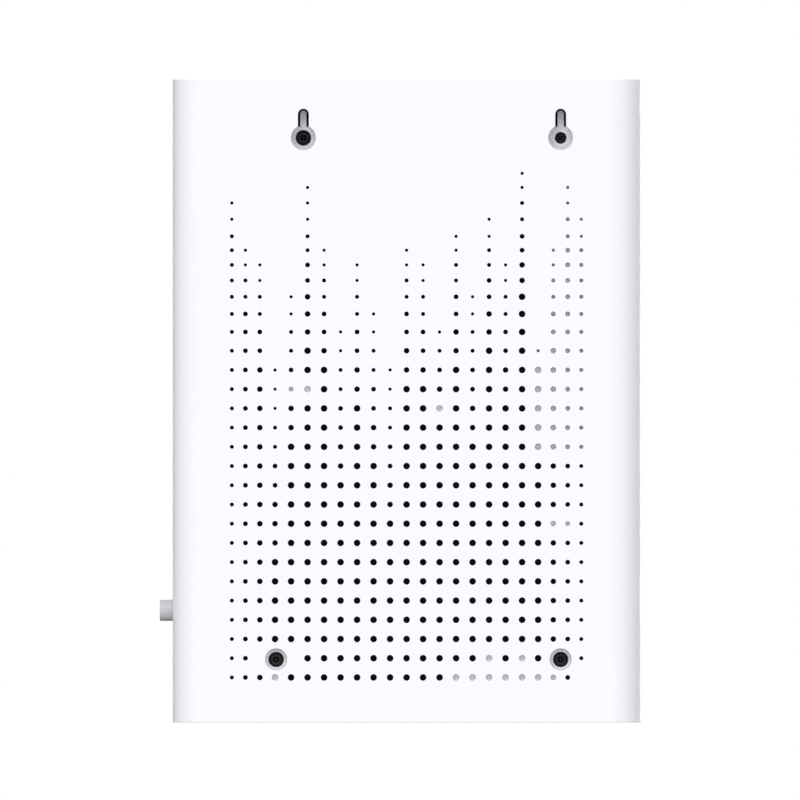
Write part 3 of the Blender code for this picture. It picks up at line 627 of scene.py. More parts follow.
def make_materials():
    looks = {"clear_plastic": clear_plastic("clear_plastic")}
    for maker, kinds in ((moulded_plastic, PLASTICS), (sheet_metal, METALS), (board_mask, BOARDS)):
        for name, (colour, roughness, settings) in kinds.items():
            looks[name] = maker(name, colour, roughness, **settings)
    return looks


MATERIALS = make_materials()


def dress_frame():
    """Give every node of the frame the material of its record slot."""
    for part in frame["record"]["subparts"]:
        node = frame["nodes"][part["node"]]
        node.data.materials.clear()
        node.data.materials.append(MATERIALS[part["material_slot"]])


# ---- vents

def vent_column_x(column):
    """Even pitch in the middle; towards both sides the columns draw together."""
    steps = abs(column)
    reach = min(steps, VENT_EVEN_COLUMNS) * VENT_PITCH_X
    for extra in range(1, steps - VENT_EVEN_COLUMNS + 1):
        reach += VENT_SIDE_GAP - VENT_GAP_STEP * extra
    return math.copysign(reach, -column)


def vent_gap(row):
    """Distance from a row to the row below it."""
    upper = len(VENT_UPPER_GAPS)
    if row < upper:
        return VENT_UPPER_GAPS[row]
    return min(VENT_PITCH_Z, VENT_GAP_START + VENT_GAP_STEP * (row - upper))


def vent_row_z(row):
    return VENT_BOTTOM_Z + sum(vent_gap(lower) for lower in range(row, VENT_ROWS - 1))


def vent_diameter(index, row):
    """Holes grow down a column in steps of some rows, less in the outermost columns."""
    largest = len(VENT_DIAMETERS) - 1
    limit = min(largest, 1 + index, 2 * VENT_SIDE_COLUMNS + 1 - index)
    rows = {**VENT_QUICK_COLUMNS, **VENT_SLOW_COLUMNS}.get(index, VENT_ROWS_PER_SIZE)
    return VENT_DIAMETERS[min(limit, int((row - VENT_FIRST_ROWS[index]) / rows))]


def vent_holes():
    """Place and diameter of every vent hole."""
    holes = []
    for index, first_row in enumerate(VENT_FIRST_ROWS):
        x = vent_column_x(index - VENT_SIDE_COLUMNS)
        for row in range(first_row, VENT_ROWS):
            z = vent_row_z(row)
            near_well = any(math.hypot(x - well.x, z - well.z) < VENT_CLEAR_OF_WELL for well in WELLS)
            corner = index == 2 * VENT_SIDE_COLUMNS and row == VENT_ROWS - 1
            if not near_well and not corner:
                holes.append((x, z, vent_diameter(index, row)))
    return holes


# ---- perforated plate

def rim_steps(rim, count=3):
    """How far out and how deep each ring of a rounded rim lies, from the face inwards."""
    turns = [math.pi / 2 * step / count for step in range(count + 1)]
    return [(rim * (1 - math.sin(turn)), rim * (1 - math.cos(turn))) for turn in turns]


def round_outline(x, z, radius, y, steps=VENT_SIDES):
    return [Vector((across, y, up)) for across, up in arc(x, z, radius, steps)[:-1]]


def keyhole_outline(x, z, grow, y, head_steps=44, slot_steps=16):
    """Round head with an upright slot above it; grow widens both, and less than 0 narrows the head."""
    head, half = KEYHOLE_RADIUS + grow, SLOT_HALF + max(grow, 0.0)
    meet = math.asin(half / head)
    points = arc(x, z, head, head_steps, math.pi / 2 + meet, math.tau - 2 * meet)
    points += arc(x, z + SLOT_ARC_Z, half, slot_steps, sweep=math.pi)
    return [Vector((across, y, up)) for across, up in points]


def inside_ring(x, z, ring):
    """Whether a point lies inside a ring of vertices, seen along Y."""
    inside = False
    for first, second in zip(ring, ring[1:] + ring[:1]):
        a, b = first.co, second.co
        if (a.z > z) != (b.z > z) and x < a.x + (b.x - a.x) * (z - a.z) / (b.z - a.z):
            inside = not inside
    return inside


def fill_plate(shape, level, rings):
    """Replace the flat faces at one Y level with triangles that leave the rings open."""
    flat = [face for face in shape.faces if all(abs(vert.co.y - level) < SPLIT / 2 for vert in face.verts)]
    flat_set = set(flat)
    border = [edge for face in flat for edge in face.edges
              if sum(other in flat_set for other in edge.link_faces) == 1]
    corners = list(dict.fromkeys(vert for edge in border for vert in edge.verts))
    owner = {}
    for number, ring in enumerate(rings):
        for vert in ring:
            owner[vert] = number
    verts = corners + [vert for ring in rings for vert in ring]
    index = {vert: number for number, vert in enumerate(verts)}
    lines = [tuple(index[vert] for vert in edge.verts) for edge in border]
    for ring in rings:
        lines += [(index[a], index[b]) for a, b in zip(ring, ring[1:] + ring[:1])]
    places = [Vector((vert.co.x, vert.co.z)) for vert in verts]
    bmesh.ops.delete(shape, geom=flat, context="FACES_ONLY")
    result = delaunay_2d_cdt(places, lines, [], 1, 1e-6, True)
    origins = [source[0] for source in result[3]]
    for triangle in result[2]:
        corners = [verts[origins[corner]] for corner in triangle]
        owners = {owner.get(vert, -1) for vert in corners}
        if len(owners) == 1 and -1 not in owners:
            middle = sum((vert.co for vert in corners), Vector()) / 3
            if inside_ring(middle.x, middle.z, rings[owners.pop()]):
                continue
        shape.faces.new(corners)


# ---- case

def long_block(low, high, side, radius):
    """Block with its long outer edges rounded; side is 1 for the back half of the case, -1 for the front."""
    shape = block(low, high)
    outer_y = high[1] if side > 0 else low[1]
    edges = edges_along(shape, 2, lambda place: abs(place.y - outer_y) < SPLIT)
    soften(shape, edges, radius, CORNER_STEPS)
    return shape


def shell_blank(low_y, high_y, side):
    """Outer block of half a case, its end edges and rim eased."""
    shape = long_block((-HALF_WIDTH, low_y, 0.0), (HALF_WIDTH, high_y, HEIGHT), side, CORNER)
    rim_y = low_y if side > 0 else high_y
    ends = [edge for level in (0.0, HEIGHT)
            for edge in edges_where(shape, lambda place: abs(place.z - level) < SPLIT)]
    ends = [edge for edge in ends if any(abs(vert.co.y - rim_y) > SPLIT for vert in edge.verts)]
    soften(shape, ends, END_EASE, 4)
    rim = edges_where(shape, lambda place: abs(place.y - rim_y) < SPLIT)
    soften(shape, rim, RIM_EASE, 2)
    return shape


def cavity_blank(low_y, high_y, side):
    return long_block((-INSIDE_X, low_y, WALL), (INSIDE_X, high_y, HEIGHT - WALL), side, INSIDE_CORNER)


def panel_opening(high_y):
    """Cutter for the port panel's opening in the bottom end."""
    half = PANEL_HALF_X + GAP
    return block((-half, PANEL_FRONT_Y - GAP, -1.0), (half, high_y, WALL + 0.1))


def keyhole_pocket(place, screw_radius):
    """Open box behind a keyhole, with a screw tower under its round end and a tongue above it."""
    x, z = place.x, place.z
    tongue_half, tongue_top, skin_depth = 1.1, z + 9.35, 1.6
    low_z, high_z, half = z - 4.9, z + 10.9, 5.0
    under = POCKET_FLOOR_Y - skin_depth
    tower_radius, hole_radius = 4.4, screw_radius + GAP
    body = join(
        block((x - half - skin_depth, under, low_z - skin_depth),
              (x + half + skin_depth, INSIDE_Y + SPLIT, high_z + skin_depth), 0.4),
        rod(place, KEYHOLE_TOWER_Y, POCKET_FLOOR_Y - 0.5, tower_radius, 48),
    )
    body = cut(
        body,
        block((x - half, POCKET_FLOOR_Y, low_z), (x + half, INSIDE_Y + 1.0, high_z), 0.5),
        block((x - half, under - 1.0, z + 3.7), (x + half, POCKET_FLOOR_Y + 0.6, high_z)),
        rod(place, KEYHOLE_SEAT_Y, POCKET_FLOOR_Y + 1.0, hole_radius, 48),
        rod(place, KEYHOLE_TOWER_Y - 1.0, KEYHOLE_SEAT_Y + 1.0, SCREW_HOLE_RADIUS),
    )
    root_z = z + hole_radius + 0.4
    outline = arc(x, tongue_top - tongue_half, tongue_half, 12, sweep=math.pi)
    outline += [(x - tongue_half, root_z), (x + tongue_half, root_z)]
    tongue = prism(outline, under + 0.1, POCKET_FLOOR_Y - SPLIT, axis=1)
    soften(tongue, edges_where(tongue, lambda place: place.y > POCKET_FLOOR_Y - 2 * SPLIT), 0.12, 2)
    return together(body, tongue)


def well_profile():
    """Rings of a screw well, from the outer face down the inside and back up the outside."""
    inside = [(WELL_RADIUS + out, HALF_DEPTH - down) for out, down in rim_steps(WELL_RIM)]
    way = box_mm("case_screw_3")[1].x - WELLS[0].x + GAP
    inner = [inside[-1], (WELL_LEDGE_RADIUS, WELL_LEDGE_Y), (way, WELL_LEDGE_Y), (way, WELL_SEAT_Y),
             (SCREW_HOLE_RADIUS, WELL_SEAT_Y), (SCREW_HOLE_RADIUS, WELL_BOTTOM_Y),
             (WELL_WALL_RADIUS, WELL_BOTTOM_Y), (WELL_WALL_RADIUS + 0.1, INSIDE_Y)]
    return inside[:-1] + eased(inner, 0.12, 2)


def board_rests():
    """Posts and a rib under the perforated plate that reach down to the board."""
    tip = BOARD_HIGH.y + GAP
    root = INSIDE_Y + SPLIT
    half = 2.0
    # X and Z of each post's middle, and its half width
    rests = ((36.7, 113.9, 4.3), (-52.7, 67.9, 4.3), (-11.3, 107.3, half), (-28.2, 21.9, half),
             (-39.5, 21.9, half), (45.0, 15.35, half))
    shapes = [block((x - wide, tip, z - half), (x + wide, root, z + half), 0.2) for x, z, wide in rests]
    shapes.append(block((-51.5, tip, VENT_BOTTOM_Z - 1.6), (-15.5, root, VENT_BOTTOM_Z + 1.6), 0.2))
    return shapes


def make_back_shell():
    rim_y = BACK_LOW.y
    shape = cut(
        shell_blank(rim_y, HALF_DEPTH, 1),
        cavity_blank(rim_y - 5.0, INSIDE_Y, 1),
        panel_opening(PANEL_BACK_Y + GAP),
        rod(BUTTON_AXIS, INSIDE_X - 1, HALF_WIDTH + 1, BUTTON_HOLE_RADIUS, 64, axis=0),
    )
    walls = []
    for x, z, diameter in vent_holes():
        radius = diameter / 2
        rings = [round_outline(x, z, radius + out, HALF_DEPTH - down) for out, down in rim_steps(VENT_RIM, 2)]
        walls.append(rings + [round_outline(x, z, radius, INSIDE_Y)])
    for x, _, z in KEYHOLES:
        rings = [keyhole_outline(x, z, out, HALF_DEPTH - down) for out, down in rim_steps(KEYHOLE_RIM)]
        walls.append(rings + [keyhole_outline(x, z, -KEYHOLE_DRAFT, INSIDE_Y)])
    for x, _, z in WELLS:
        walls.append([round_outline(x, z, radius, y, 64) for radius, y in well_profile()])
    skins = [skin(shape, rings) for rings in walls]
    fill_plate(shape, HALF_DEPTH, [rows[0] for rows in skins])
    fill_plate(shape, INSIDE_Y, [rows[-1] for rows in skins])
    pockets = [keyhole_pocket(place, box_mm(f"case_screw_{number}")[1].x - place.x)
               for number, place in enumerate(KEYHOLES, 1)]
    shape = together(shape, *pockets, *board_rests())
    finish_piece("back_shell", shape, "white_case", ["back_cover"], sharp=20, orient=False)


def window_tool(x, z):
    """Cutter for a light window with round ends."""
    wide, tall = 3.0, 1.1
    return slab((x - wide, -HALF_DEPTH - 1, z - tall), (x + wide, 1 - INSIDE_Y, z + tall),
                tall - SPLIT, axis=1)


def front_bosses():
    """Screw bosses, standoffs under the board and two pegs under the light guide."""
    boss, standoff, standoff_pilot, peg = 3.5, 3.0, 1.2, 2.0
    root = -INSIDE_Y - 0.5
    posts, pilots = [], []
    fixings = [(place, KEYHOLE_TOWER_Y - GAP) for place in KEYHOLES]
    fixings += [(place, WELL_BOTTOM_Y - GAP) for place in WELLS]
    for place, top in fixings:
        posts.append(rod(place, root, top, boss, 40, 0.15))
        pilots.append(rod(place, -2.5, top + 1, PILOT_RADIUS, 24))
    seat = BOARD_LOW.y - GAP
    for place in BOARD_SCREWS:
        posts.append(rod(place, root, seat, standoff, 32, 0.15))
        pilots.append(rod(place, -1.0, seat + 1, standoff_pilot, 20))
    peg_x, peg_top = 24.0, -9.3
    for x in (-peg_x, peg_x):
        posts.append(rod((x, 0.0, LEDS[0].z), root, peg_top, peg, 32, 0.15))
    return posts, pilots


def make_front_shell():
    rim_y = PARTING_Y - SEAM
    lip_top = FRONT_HIGH.y
    band_y = rim_y - LIP_BAND
    lip_inset = HALF_WIDTH - LIP_INNER_X
    flange_radius = (box_mm("power_button")[1].z - BUTTON.z) + GAP
    shape = join(
        shell_blank(FRONT_LOW.y, rim_y, -1),
        block((-LIP_OUTER_X, 0, WALL + GAP), (LIP_OUTER_X, lip_top, HEIGHT - WALL - GAP), 0.2, 2),
    )
    shape = cut(
        shape,
        cavity_blank(-INSIDE_Y, band_y, -1),
        block((-LIP_INNER_X, band_y - 0.2, WALL), (LIP_INNER_X, lip_top + 1, HEIGHT - lip_inset)),
        panel_opening(lip_top + 1),
        rod(BUTTON_AXIS, INSIDE_X - 1, HALF_WIDTH + 1, BUTTON_HOLE_RADIUS, 64, axis=0),
        rod(BUTTON_AXIS, LIP_INNER_X - 1, INSIDE_X, flange_radius, 48, axis=0),
    )
    posts, pilots = front_bosses()
    shape = cut(join(shape, *posts), *pilots, *(window_tool(led.x, led.z) for led in LEDS))
    finish_piece("front_shell", shape, "white_case", ["front_cover"])


# ---- buttons and screws

def make_buttons():
    low, high = box_mm("power_button")
    tip = high.x
    reach = tip - low.x
    flange = high.z - BUTTON.z
    radius = flange - 1.0
    plunger = box_mm("power_switch_plunger")[1].z - BUTTON.z
    hub, flange_front, flange_back, socket = 3.0, -7.0, -8.1, 3.0 - reach
    groove_in, groove_out, groove_floor = radius - 0.9, radius - 0.6, -0.12
    outline = [(0.0, 0.0), (groove_in, 0.0), (groove_in, groove_floor), (groove_out, groove_floor),
               (groove_out, 0.0), (radius, 0.0), (radius, flange_front), (flange, flange_front),
               (flange, flange_back), (hub, flange_back), (hub, -reach), (plunger + GAP, -reach),
               (plunger + GAP, socket), (0.0, socket)]
    shape = turned(eased(outline, 0.22, 4), (tip, BUTTON.y, BUTTON.z), (1, 0, 0), 64)
    finish_piece("power_button_cap", shape, "grey_button", ["power_button"], body="power_button")

    low, high = box_mm("wps_button")
    middle = (low + high) / 2
    top, stem, cap, flange, flange_low, flange_high = 6.0, 1.4, 2.3, 3.1, 3.5, 4.4
    outline = ((0.0, top), (stem, top), (stem, flange_high), (flange, flange_high), (flange, flange_low),
               (cap, flange_low), (cap, 0.0), (0.0, 0.0))
    shape = turned(eased(outline, 0.25), (middle.x, middle.y, low.z), (0, 0, 1), 48)
    finish_piece("pairing_button_cap", shape, "grey_button", ["wps_button"], body="wps_button")


def make_screw(node, head_height, shank_radius):
    """Pan-head screw with a cross recess and a threaded shank."""
    low, high = box_mm(node)
    middle = (low + high) / 2
    radius = high.x - middle.x
    base = (middle.x, high.y - head_height, middle.z)
    length = high.y - head_height - low.y
    core = shank_radius * 0.8
    head = [(0.0, head_height), (radius * 0.72, head_height), (radius * 0.92, head_height * 0.8),
            (radius, head_height * 0.5), (radius, 0.0), (core, 0.0)]
    pitch = shank_radius * 0.75
    shank = []
    for turn in range(int((length - 1.5) / pitch)):
        top = -0.6 - turn * pitch
        shank += [(core, top), (shank_radius, top - pitch * 0.35), (core, top - pitch * 0.7)]
    tip = [(shank_radius * 0.3, -length), (0.0, -length)]
    arm, blade = radius * 0.55, radius * 0.09
    floor, roof = high.y - head_height * 0.8, high.y + 0.5
    recess = [block((middle.x - wide, floor, middle.z - tall),
                    (middle.x + wide, roof, middle.z + tall), 0.08, 2)
              for wide, tall in ((arm, blade), (blade, arm))]
    depth = -head_height * 0.85
    bore = turned([(0.0, depth), (radius * 0.08, depth), (radius * 0.52, 0.1), (0.0, 0.1)],
                  (middle.x, high.y, middle.z), (0, 1, 0), 32)
    shape = cut(turned(eased(head, 0.22) + shank + tip, base, (0, 1, 0), 48), *recess, bore)
    finish_piece(node + "_threaded", shape, "black_steel", [node], sharp=50)


def make_screws():
    for number in range(1, 5):
        make_screw(f"case_screw_{number}", head_height=1.9, shank_radius=1.1)
    for number in range(1, 4):
        make_screw(f"board_screw_{number}", head_height=1.3, shank_radius=0.8)


# ---- port panel and sockets

def make_port_panel():
    """Panel in the bottom end: a block through the rim, a flange behind it and a sunk field."""
    low, high = box_mm("port_panel")
    edge_x, edge_y, sunk = 1.8, 1.2, 0.45
    field_x = PANEL_HALF_X - edge_x
    tools = [slab((-field_x, PANEL_FRONT_Y + edge_y, -1.0), (field_x, PANEL_BACK_Y - edge_y, sunk), 1.5)]
    for node in ("wan_jack", "lan_jack_1", "lan_jack_2", "usb_port", "dc_jack"):
        start, end = box_mm(node)
        way = block((start.x - GAP, start.y - GAP, -2.0), (end.x + GAP, end.y + GAP, high.z + 2.0), 0.5)
        tools.append(way)
    for node, radius in (("wps_button", 2.6), ("reset_plunger", 0.9)):
        place = centre_mm(node)
        mouth = ((0.0, -1.0), (radius + 0.4, -1.0), (radius + 0.4, sunk), (radius, sunk + 0.4),
                 (radius, 5.0), (0.0, 5.0))
        tools.append(turned(mouth, (place.x, place.y, 0.0), (0, 0, 1), 40))
    shape = cut(
        join(block((-PANEL_HALF_X, PANEL_FRONT_Y, 0.0), (PANEL_HALF_X, PANEL_BACK_Y, 3.0), 0.3),
             slab((low.x, low.y, WALL + GAP), high, 4.0)),
        *tools,
    )
    finish_piece("port_panel_moulding", shape, "black_plastic", ["port_panel"])


def plug_way(x, low_z):
    """Way for a network plug and its latch."""
    body, latch = 5.85, 3.1
    board_side, side, shoulder, tip = 2.1, -4.7, -4.95, -7.0
    points = [(x + across * mirror, y) for mirror, order in ((-1, 1), (1, -1)) for across, y in
              ((body, board_side), (body, side), (latch, shoulder), (latch, tip))[::order]]
    return prism(points, low_z - 1.0, low_z + 12.5)


def make_network_socket(node, ports):
    """Tinned shield round a black insert for each port, with eight sprung contacts in each."""
    low, high = box_mm(node)
    first_port, port_pitch, contact_pitch, contacts_per_port = 7.5, 14.0, 1.02, 8
    half, wall, contact_radius = 6.6, 0.5, 0.2
    xs = [low.x + first_port + port_pitch * port for port in range(ports)]
    windows = [block((x - half, low.y + wall, low.z - 1.0), (x + half, high.y - wall, high.z - wall), 0.2)
               for x in xs]
    finish_piece(node + "_shield", cut(block(low, high, 0.35), *windows), "tinned_steel", [node])
    inserts, contacts = [], bmesh.new()
    half, wall = 6.55, 0.55
    for x in xs:
        insert = block((x - half, low.y + wall, low.z + 0.25), (x + half, high.y - wall, high.z - 0.6), 0.15)
        inserts.append(cut(insert, plug_way(x, low.z)))
        for number in range(contacts_per_port):
            across = x + (number - (contacts_per_port - 1) / 2) * contact_pitch
            stops = ((across, 2.3, low.z + 1.6), (across, 1.5, low.z + 3.6), (across, -0.6, low.z + 9.0),
                     (across, -0.8, low.z + 12.8))
            wire(smooth_route(stops, 4), contact_radius, 8, contacts)
    finish_piece(node + "_insert", together(*inserts), "black_plastic")
    finish_piece(node + "_contacts", contacts, "brass")


def make_usb_socket():
    low, high = box_mm("usb_port")
    wall = 0.35
    tools = [slab((low.x + wall, low.y + wall, low.z - 1.0), (high.x - wall, high.y - wall, high.z - wall),
                  0.55)]
    window_x, half = 3.0, 1.1
    for side in (-1, 1):
        x = (low.x + high.x) / 2 + side * window_x
        tools.append(block((x - half, low.y - 1.0, low.z + 3.5), (x + half, low.y + 1.0, low.z + 9.0)))
    finish_piece("usb_shell", cut(slab(low, high, 0.9), *tools), "tinned_steel", ["usb_port"])

    low, high = box_mm("usb_tongue")
    finish_piece("usb_tongue_bar", block(low, high, 0.3), "white_plastic", ["usb_tongue"])
    contacts, half = bmesh.new(), 0.5
    for offset in (-3.5, -1.0, 1.0, 3.5):
        x = (low.x + high.x) / 2 + offset
        block((x - half, low.y - 0.12, low.z + 0.8), (x + half, low.y + 0.1, low.z + 9.0), 0.05, 2, contacts)
    finish_piece("usb_contacts", contacts, "brass")


def make_power_socket():
    low, high = box_mm("dc_jack")
    pin_low, pin_high = box_mm("dc_jack_pin")
    axis = (pin_low + pin_high) / 2
    way, mouth_radius, depth = 3.0, 3.5, 12.0
    mouth = ((0.0, -1.0), (mouth_radius, -1.0), (mouth_radius, 0.0), (way, 0.5), (way, depth), (0.0, depth))
    shape = cut(block(low, high, 0.4), turned(mouth, (axis.x, axis.y, low.z), (0, 0, 1), 48))
    finish_piece("power_socket_body", shape, "black_plastic", ["dc_jack"])
    length = pin_high.z - pin_low.z
    pin = ((0.0, 0.0), (0.55, 0.0), (0.9, 0.25), (1.0, 0.8), (1.0, length), (0.0, length))
    shape = turned(eased(pin, 0.2), (axis.x, axis.y, pin_low.z), (0, 0, 1), 32)
    finish_piece("power_socket_pin", shape, "brass", ["dc_jack_pin"])
    half = 0.8
    spring = block((axis.x + 2.45, axis.y - half, low.z + 3.0), (axis.x + 2.75, axis.y + half, low.z + 11.8),
                   0.1)
    finish_piece("power_socket_spring", spring, "brass")


def make_sockets():
    for node, ports in (("wan_jack", 1), ("lan_jack_1", 2), ("lan_jack_2", 2)):
        make_network_socket(node, ports)
    make_usb_socket()
    make_power_socket()


# ---- lights

def make_light_guide():
    """Comb-shaped guide: a leg over each light and a round-ended tongue in each window; and the lights."""
    low, high = box_mm("light_pipe")
    bar_low, bar_high, overlap = -9.0, -7.0, 0.5
    arm_half, tongue_half, inset = 1.0, 2.7, 0.05
    arms = []
    for led in LEDS:
        arms.append(block((led.x - arm_half, bar_high - overlap, low.z + inset),
                          (led.x + arm_half, high.y, high.z - inset), 0.2))
        tongue = slab((led.x - tongue_half, low.y, low.z), (led.x + tongue_half, bar_low + overlap, high.z),
                      0.8 - SPLIT, axis=1)
        soften(tongue, edges_where(tongue, lambda place: place.y < low.y + SPLIT), 0.15)
        arms.append(tongue)
    shape = join(block((low.x, bar_low, low.z), (high.x, bar_high, high.z), 0.3), *arms)
    finish_piece("light_guide", shape, "clear_plastic", ["light_pipe"])
    dome = ((0.0, 0.3), (0.2, 0.27), (0.34, 0.15), (0.38, -0.1), (0.0, -0.1))
    for number in range(1, 5):
        node = f"status_led_{number}"
        low, high = box_mm(node)
        base = ((low.x + high.x) / 2, low.y, (low.z + high.z) / 2)
        lens = turned(dome, base, (0, -1, 0), 24)
        finish_piece(node + "_lamp", join(block(low, high, 0.12), lens), "led_resin", [node])


# ---- circuit board

def make_main_board():
    low, high = BOARD_LOW, BOARD_HIGH
    shape = slab(low, high, 2.0, axis=1)
    soften(shape, flat_edges(shape), 0.1, 2)
    well_hole, screw_hole = 4.0, 1.3
    holes = [(place, well_hole) for place in WELLS] + [(place, screw_hole) for place in BOARD_SCREWS]
    tools = [rod(place, low.y - 1, high.y + 1, radius, 48) for place, radius in holes]
    finish_piece("main_board_plate", cut(shape, *tools), "solder_mask", ["main_board"])
    inner, outer, under, over = 1.5, 2.8, -0.02, 0.04
    pad = ((inner, under), (outer, under), (outer, over), (inner, over), (inner, under))
    rings = [turned(pad, (place.x, level, place.z), (0, direction, 0), 40)
             for place in BOARD_SCREWS for level, direction in ((low.y, -1), (high.y, 1))]
    for ring in rings:
        bmesh.ops.remove_doubles(ring, verts=ring.verts, dist=0.0001)
    finish_piece("board_screw_pads", together(*rings), "tinned_steel")


def make_small_parts():
    """Resistors and small capacitors, scattered over the free places on the board's front face."""
    draw = random.Random(7)
    covers = ("main_board", "back_cover", "front_cover")
    taken = []
    for part in frame["record"]["subparts"]:
        low, high = box_mm(part["node"])
        if high.y > 0.0 and low.y < BOARD_LOW.y and part["node"] not in covers:
            taken.append((low.x, low.z, high.x, high.z))
    keep_off = 4.5
    for x, _, z in WELLS + BOARD_SCREWS:
        taken.append((x - keep_off, z - keep_off, x + keep_off, z + keep_off))
    margin, height, border, tries = 0.8, 0.5, 2.0, 700
    bare_share, cap_share = 0.45, 0.76
    bodies, ends = bmesh.new(), bmesh.new()
    for _ in range(tries):
        length = draw.choice((1.0, 1.6, 2.0))
        x = round(draw.uniform(BOARD_LOW.x + border, BOARD_HIGH.x - border) * 2) / 2
        z = round(draw.uniform(BOARD_LOW.z + border, BOARD_HIGH.z - border) * 2) / 2
        upright = draw.random() < 0.5
        long_half, short_half = length / 2, length * 0.28
        half = Vector((short_half, 0.0, long_half) if upright else (long_half, 0.0, short_half))
        spot = (x - half.x - margin, z - half.z - margin, x + half.x + margin, z + half.z + margin)
        if any(spot[0] < other[2] and other[0] < spot[2] and spot[1] < other[3] and other[1] < spot[3]
               for other in taken):
            continue
        taken.append(spot)
        along = Vector((0.0, 0.0, 1.0) if upright else (1.0, 0.0, 0.0))
        middle = Vector((x, BOARD_LOW.y - height / 2, z))
        half.y = height / 2
        body = half - along * long_half * bare_share
        body.y -= 0.03
        block(middle - body, middle + body, 0.05, 1, bodies)
        cap = half - along * long_half * cap_share
        for side in (-1, 1):
            end = middle + along * side * long_half * cap_share
            block(end - cap, end + cap, 0.06, 1, ends)
    finish_piece("small_part_bodies", bodies, "chip_resin")
    finish_piece("small_part_ends", ends, "tinned_steel")


def gull_leads(node, per_side, pitch, axes, reach=1.1, width=0.3):
    """Bent leads from two or four sides of a package down to the board."""
    low, high = box_mm(node)
    middle = (low + high) / 2
    top, bottom, sheet = middle.y, BOARD_LOW.y, 0.14
    profile = ((-0.1, top - sheet), (reach * 0.4, top - sheet), (reach * 0.62, bottom - sheet),
               (reach, bottom - sheet), (reach, bottom), (reach * 0.5, bottom), (reach * 0.28, top),
               (-0.1, top))
    leads = []
    for axis in axes:
        along = 2 - axis
        for side, edge in ((-1, low[axis]), (1, high[axis])):
            points = [(edge + side * out, y) if axis == 0 else (y, edge + side * out)
                      for out, y in profile]
            for number in range(per_side):
                spot = middle[along] + (number - (per_side - 1) / 2) * pitch
                leads.append(prism(points, spot - width / 2, spot + width / 2, axis=along))
    finish_piece(node + "_leads", together(*leads), "tinned_steel")


def make_package(node, ease=0.15):
    """Moulded package with a round mark by its first lead."""
    low, high = box_mm(node)
    tool = rod((low.x + 1.3, 0.0, high.z - 1.3), low.y - 1.0, low.y + 0.12, 0.45, 24)
    finish_piece(node + "_package", cut(block(low, high, ease), tool), "chip_resin", [node])


def make_packages():
    transformers = {"wan_transformer": (8, 1.5), "lan_transformer_1": (14, 1.6),
                    "lan_transformer_2": (14, 1.6)}
    for node in ("main_processor", "memory_chip", "flash_chip", "switch_chip"):
        make_package(node)
    for node in transformers:
        make_package(node, ease=0.4)
    gull_leads("flash_chip", 4, 1.27, axes=(0,))
    gull_leads("switch_chip", 22, 0.5, axes=(0, 2), width=0.22)
    for node, (per_side, pitch) in transformers.items():
        gull_leads(node, per_side, pitch, axes=(2,), width=0.5)


def make_shield_can(node, pitch):
    """Pressed lid over a soldered fence; a lid with a pitch has rows of round holes."""
    low, high = box_mm(node)
    sheet, hole_radius, fence_out = 0.35, 0.6, 0.25
    lid = block(low, high)
    soften(lid, [edge for edge in lid.edges if any(vert.co.y < low.y + SPLIT for vert in edge.verts)], 0.6)
    tools = [block((low.x + sheet, low.y + sheet, low.z + sheet),
                   (high.x - sheet, high.y + 2.0, high.z - sheet), 0.3)]
    if pitch:
        count = int((high.x - low.x) / pitch) - 1
        spots = [(number - (count - 1) / 2) * pitch for number in range(count)]
        middle = (low + high) / 2
        places = [(middle.x + across, 0.0, middle.z + up) for across in spots for up in spots]
        tools.append(together(*(rod(place, low.y - 1.0, low.y + 1.0, hole_radius, 16) for place in places)))
    finish_piece(node + "_lid", cut(lid, *tools), "tinned_steel", [node])
    fence = cut(
        block((low.x - fence_out, high.y - 1.0, low.z - fence_out),
              (high.x + fence_out, BOARD_LOW.y, high.z + fence_out), 0.1),
        block((low.x - SPLIT, high.y - 3.0, low.z - SPLIT),
              (high.x + SPLIT, BOARD_LOW.y + 2.0, high.z + SPLIT)),
    )
    finish_piece(node + "_fence", fence, "tinned_steel")


def make_heat_sink():
    """Comb of fins on a base, over the soft pad."""
    low, high = box_mm("heat_sink")
    fins, fin, base_y = 7, 1.6, -0.6
    pitch = (high.x - low.x - fin) / (fins - 1)
    points = [(high.x, high.y), (low.x, high.y)]
    for number in range(fins):
        left = low.x + number * pitch
        points += [(left, base_y), (left, low.y), (left + fin, low.y), (left + fin, base_y)]
    points = [point for point in points if point not in ((low.x, base_y), (high.x, base_y))]
    shape = prism(points, low.z, high.z)
    soften(shape, edges_along(shape, 2), 0.3)
    finish_piece("heat_sink_fins", shape, "aluminium", ["heat_sink"])
    low, high = box_mm("thermal_pad")
    finish_piece("thermal_pad_sheet", block(low, high, 0.3), "silicone_pad", ["thermal_pad"])


def make_capacitor(node):
    """Sleeved can with a crimped groove and a scored metal top."""
    low, high = box_mm(node)
    radius, height = high.x - (low.x + high.x) / 2, high.y - low.y
    base = ((low.x + high.x) / 2, high.y, (low.z + high.z) / 2)
    crimp, opening, sunk = radius - 0.35, radius - 0.7, height - 0.25
    sleeve = ((0.0, 0.0), (radius, 0.0), (radius, 0.9), (crimp, 1.2), (crimp, 1.6), (radius, 1.9),
              (radius, height), (opening, height), (opening, sunk), (0.0, sunk))
    shape = turned(eased(sleeve, 0.3), base, (0, -1, 0), 56)
    finish_piece(node + "_sleeve", shape, "capacitor_sleeve", [node])
    disc = rod(base, low.y + 0.4, low.y + 0.08, radius - 0.72, 48, 0.08)
    x, _, z = base
    long, slim, score_y = radius * 0.6, 0.12, low.y + 0.16
    scores = [block((x - wide, low.y - 1.0, z - tall), (x + wide, score_y, z + tall))
              for wide, tall in ((long, slim), (slim, long))]
    finish_piece(node + "_top", cut(disc, *scores), "aluminium")


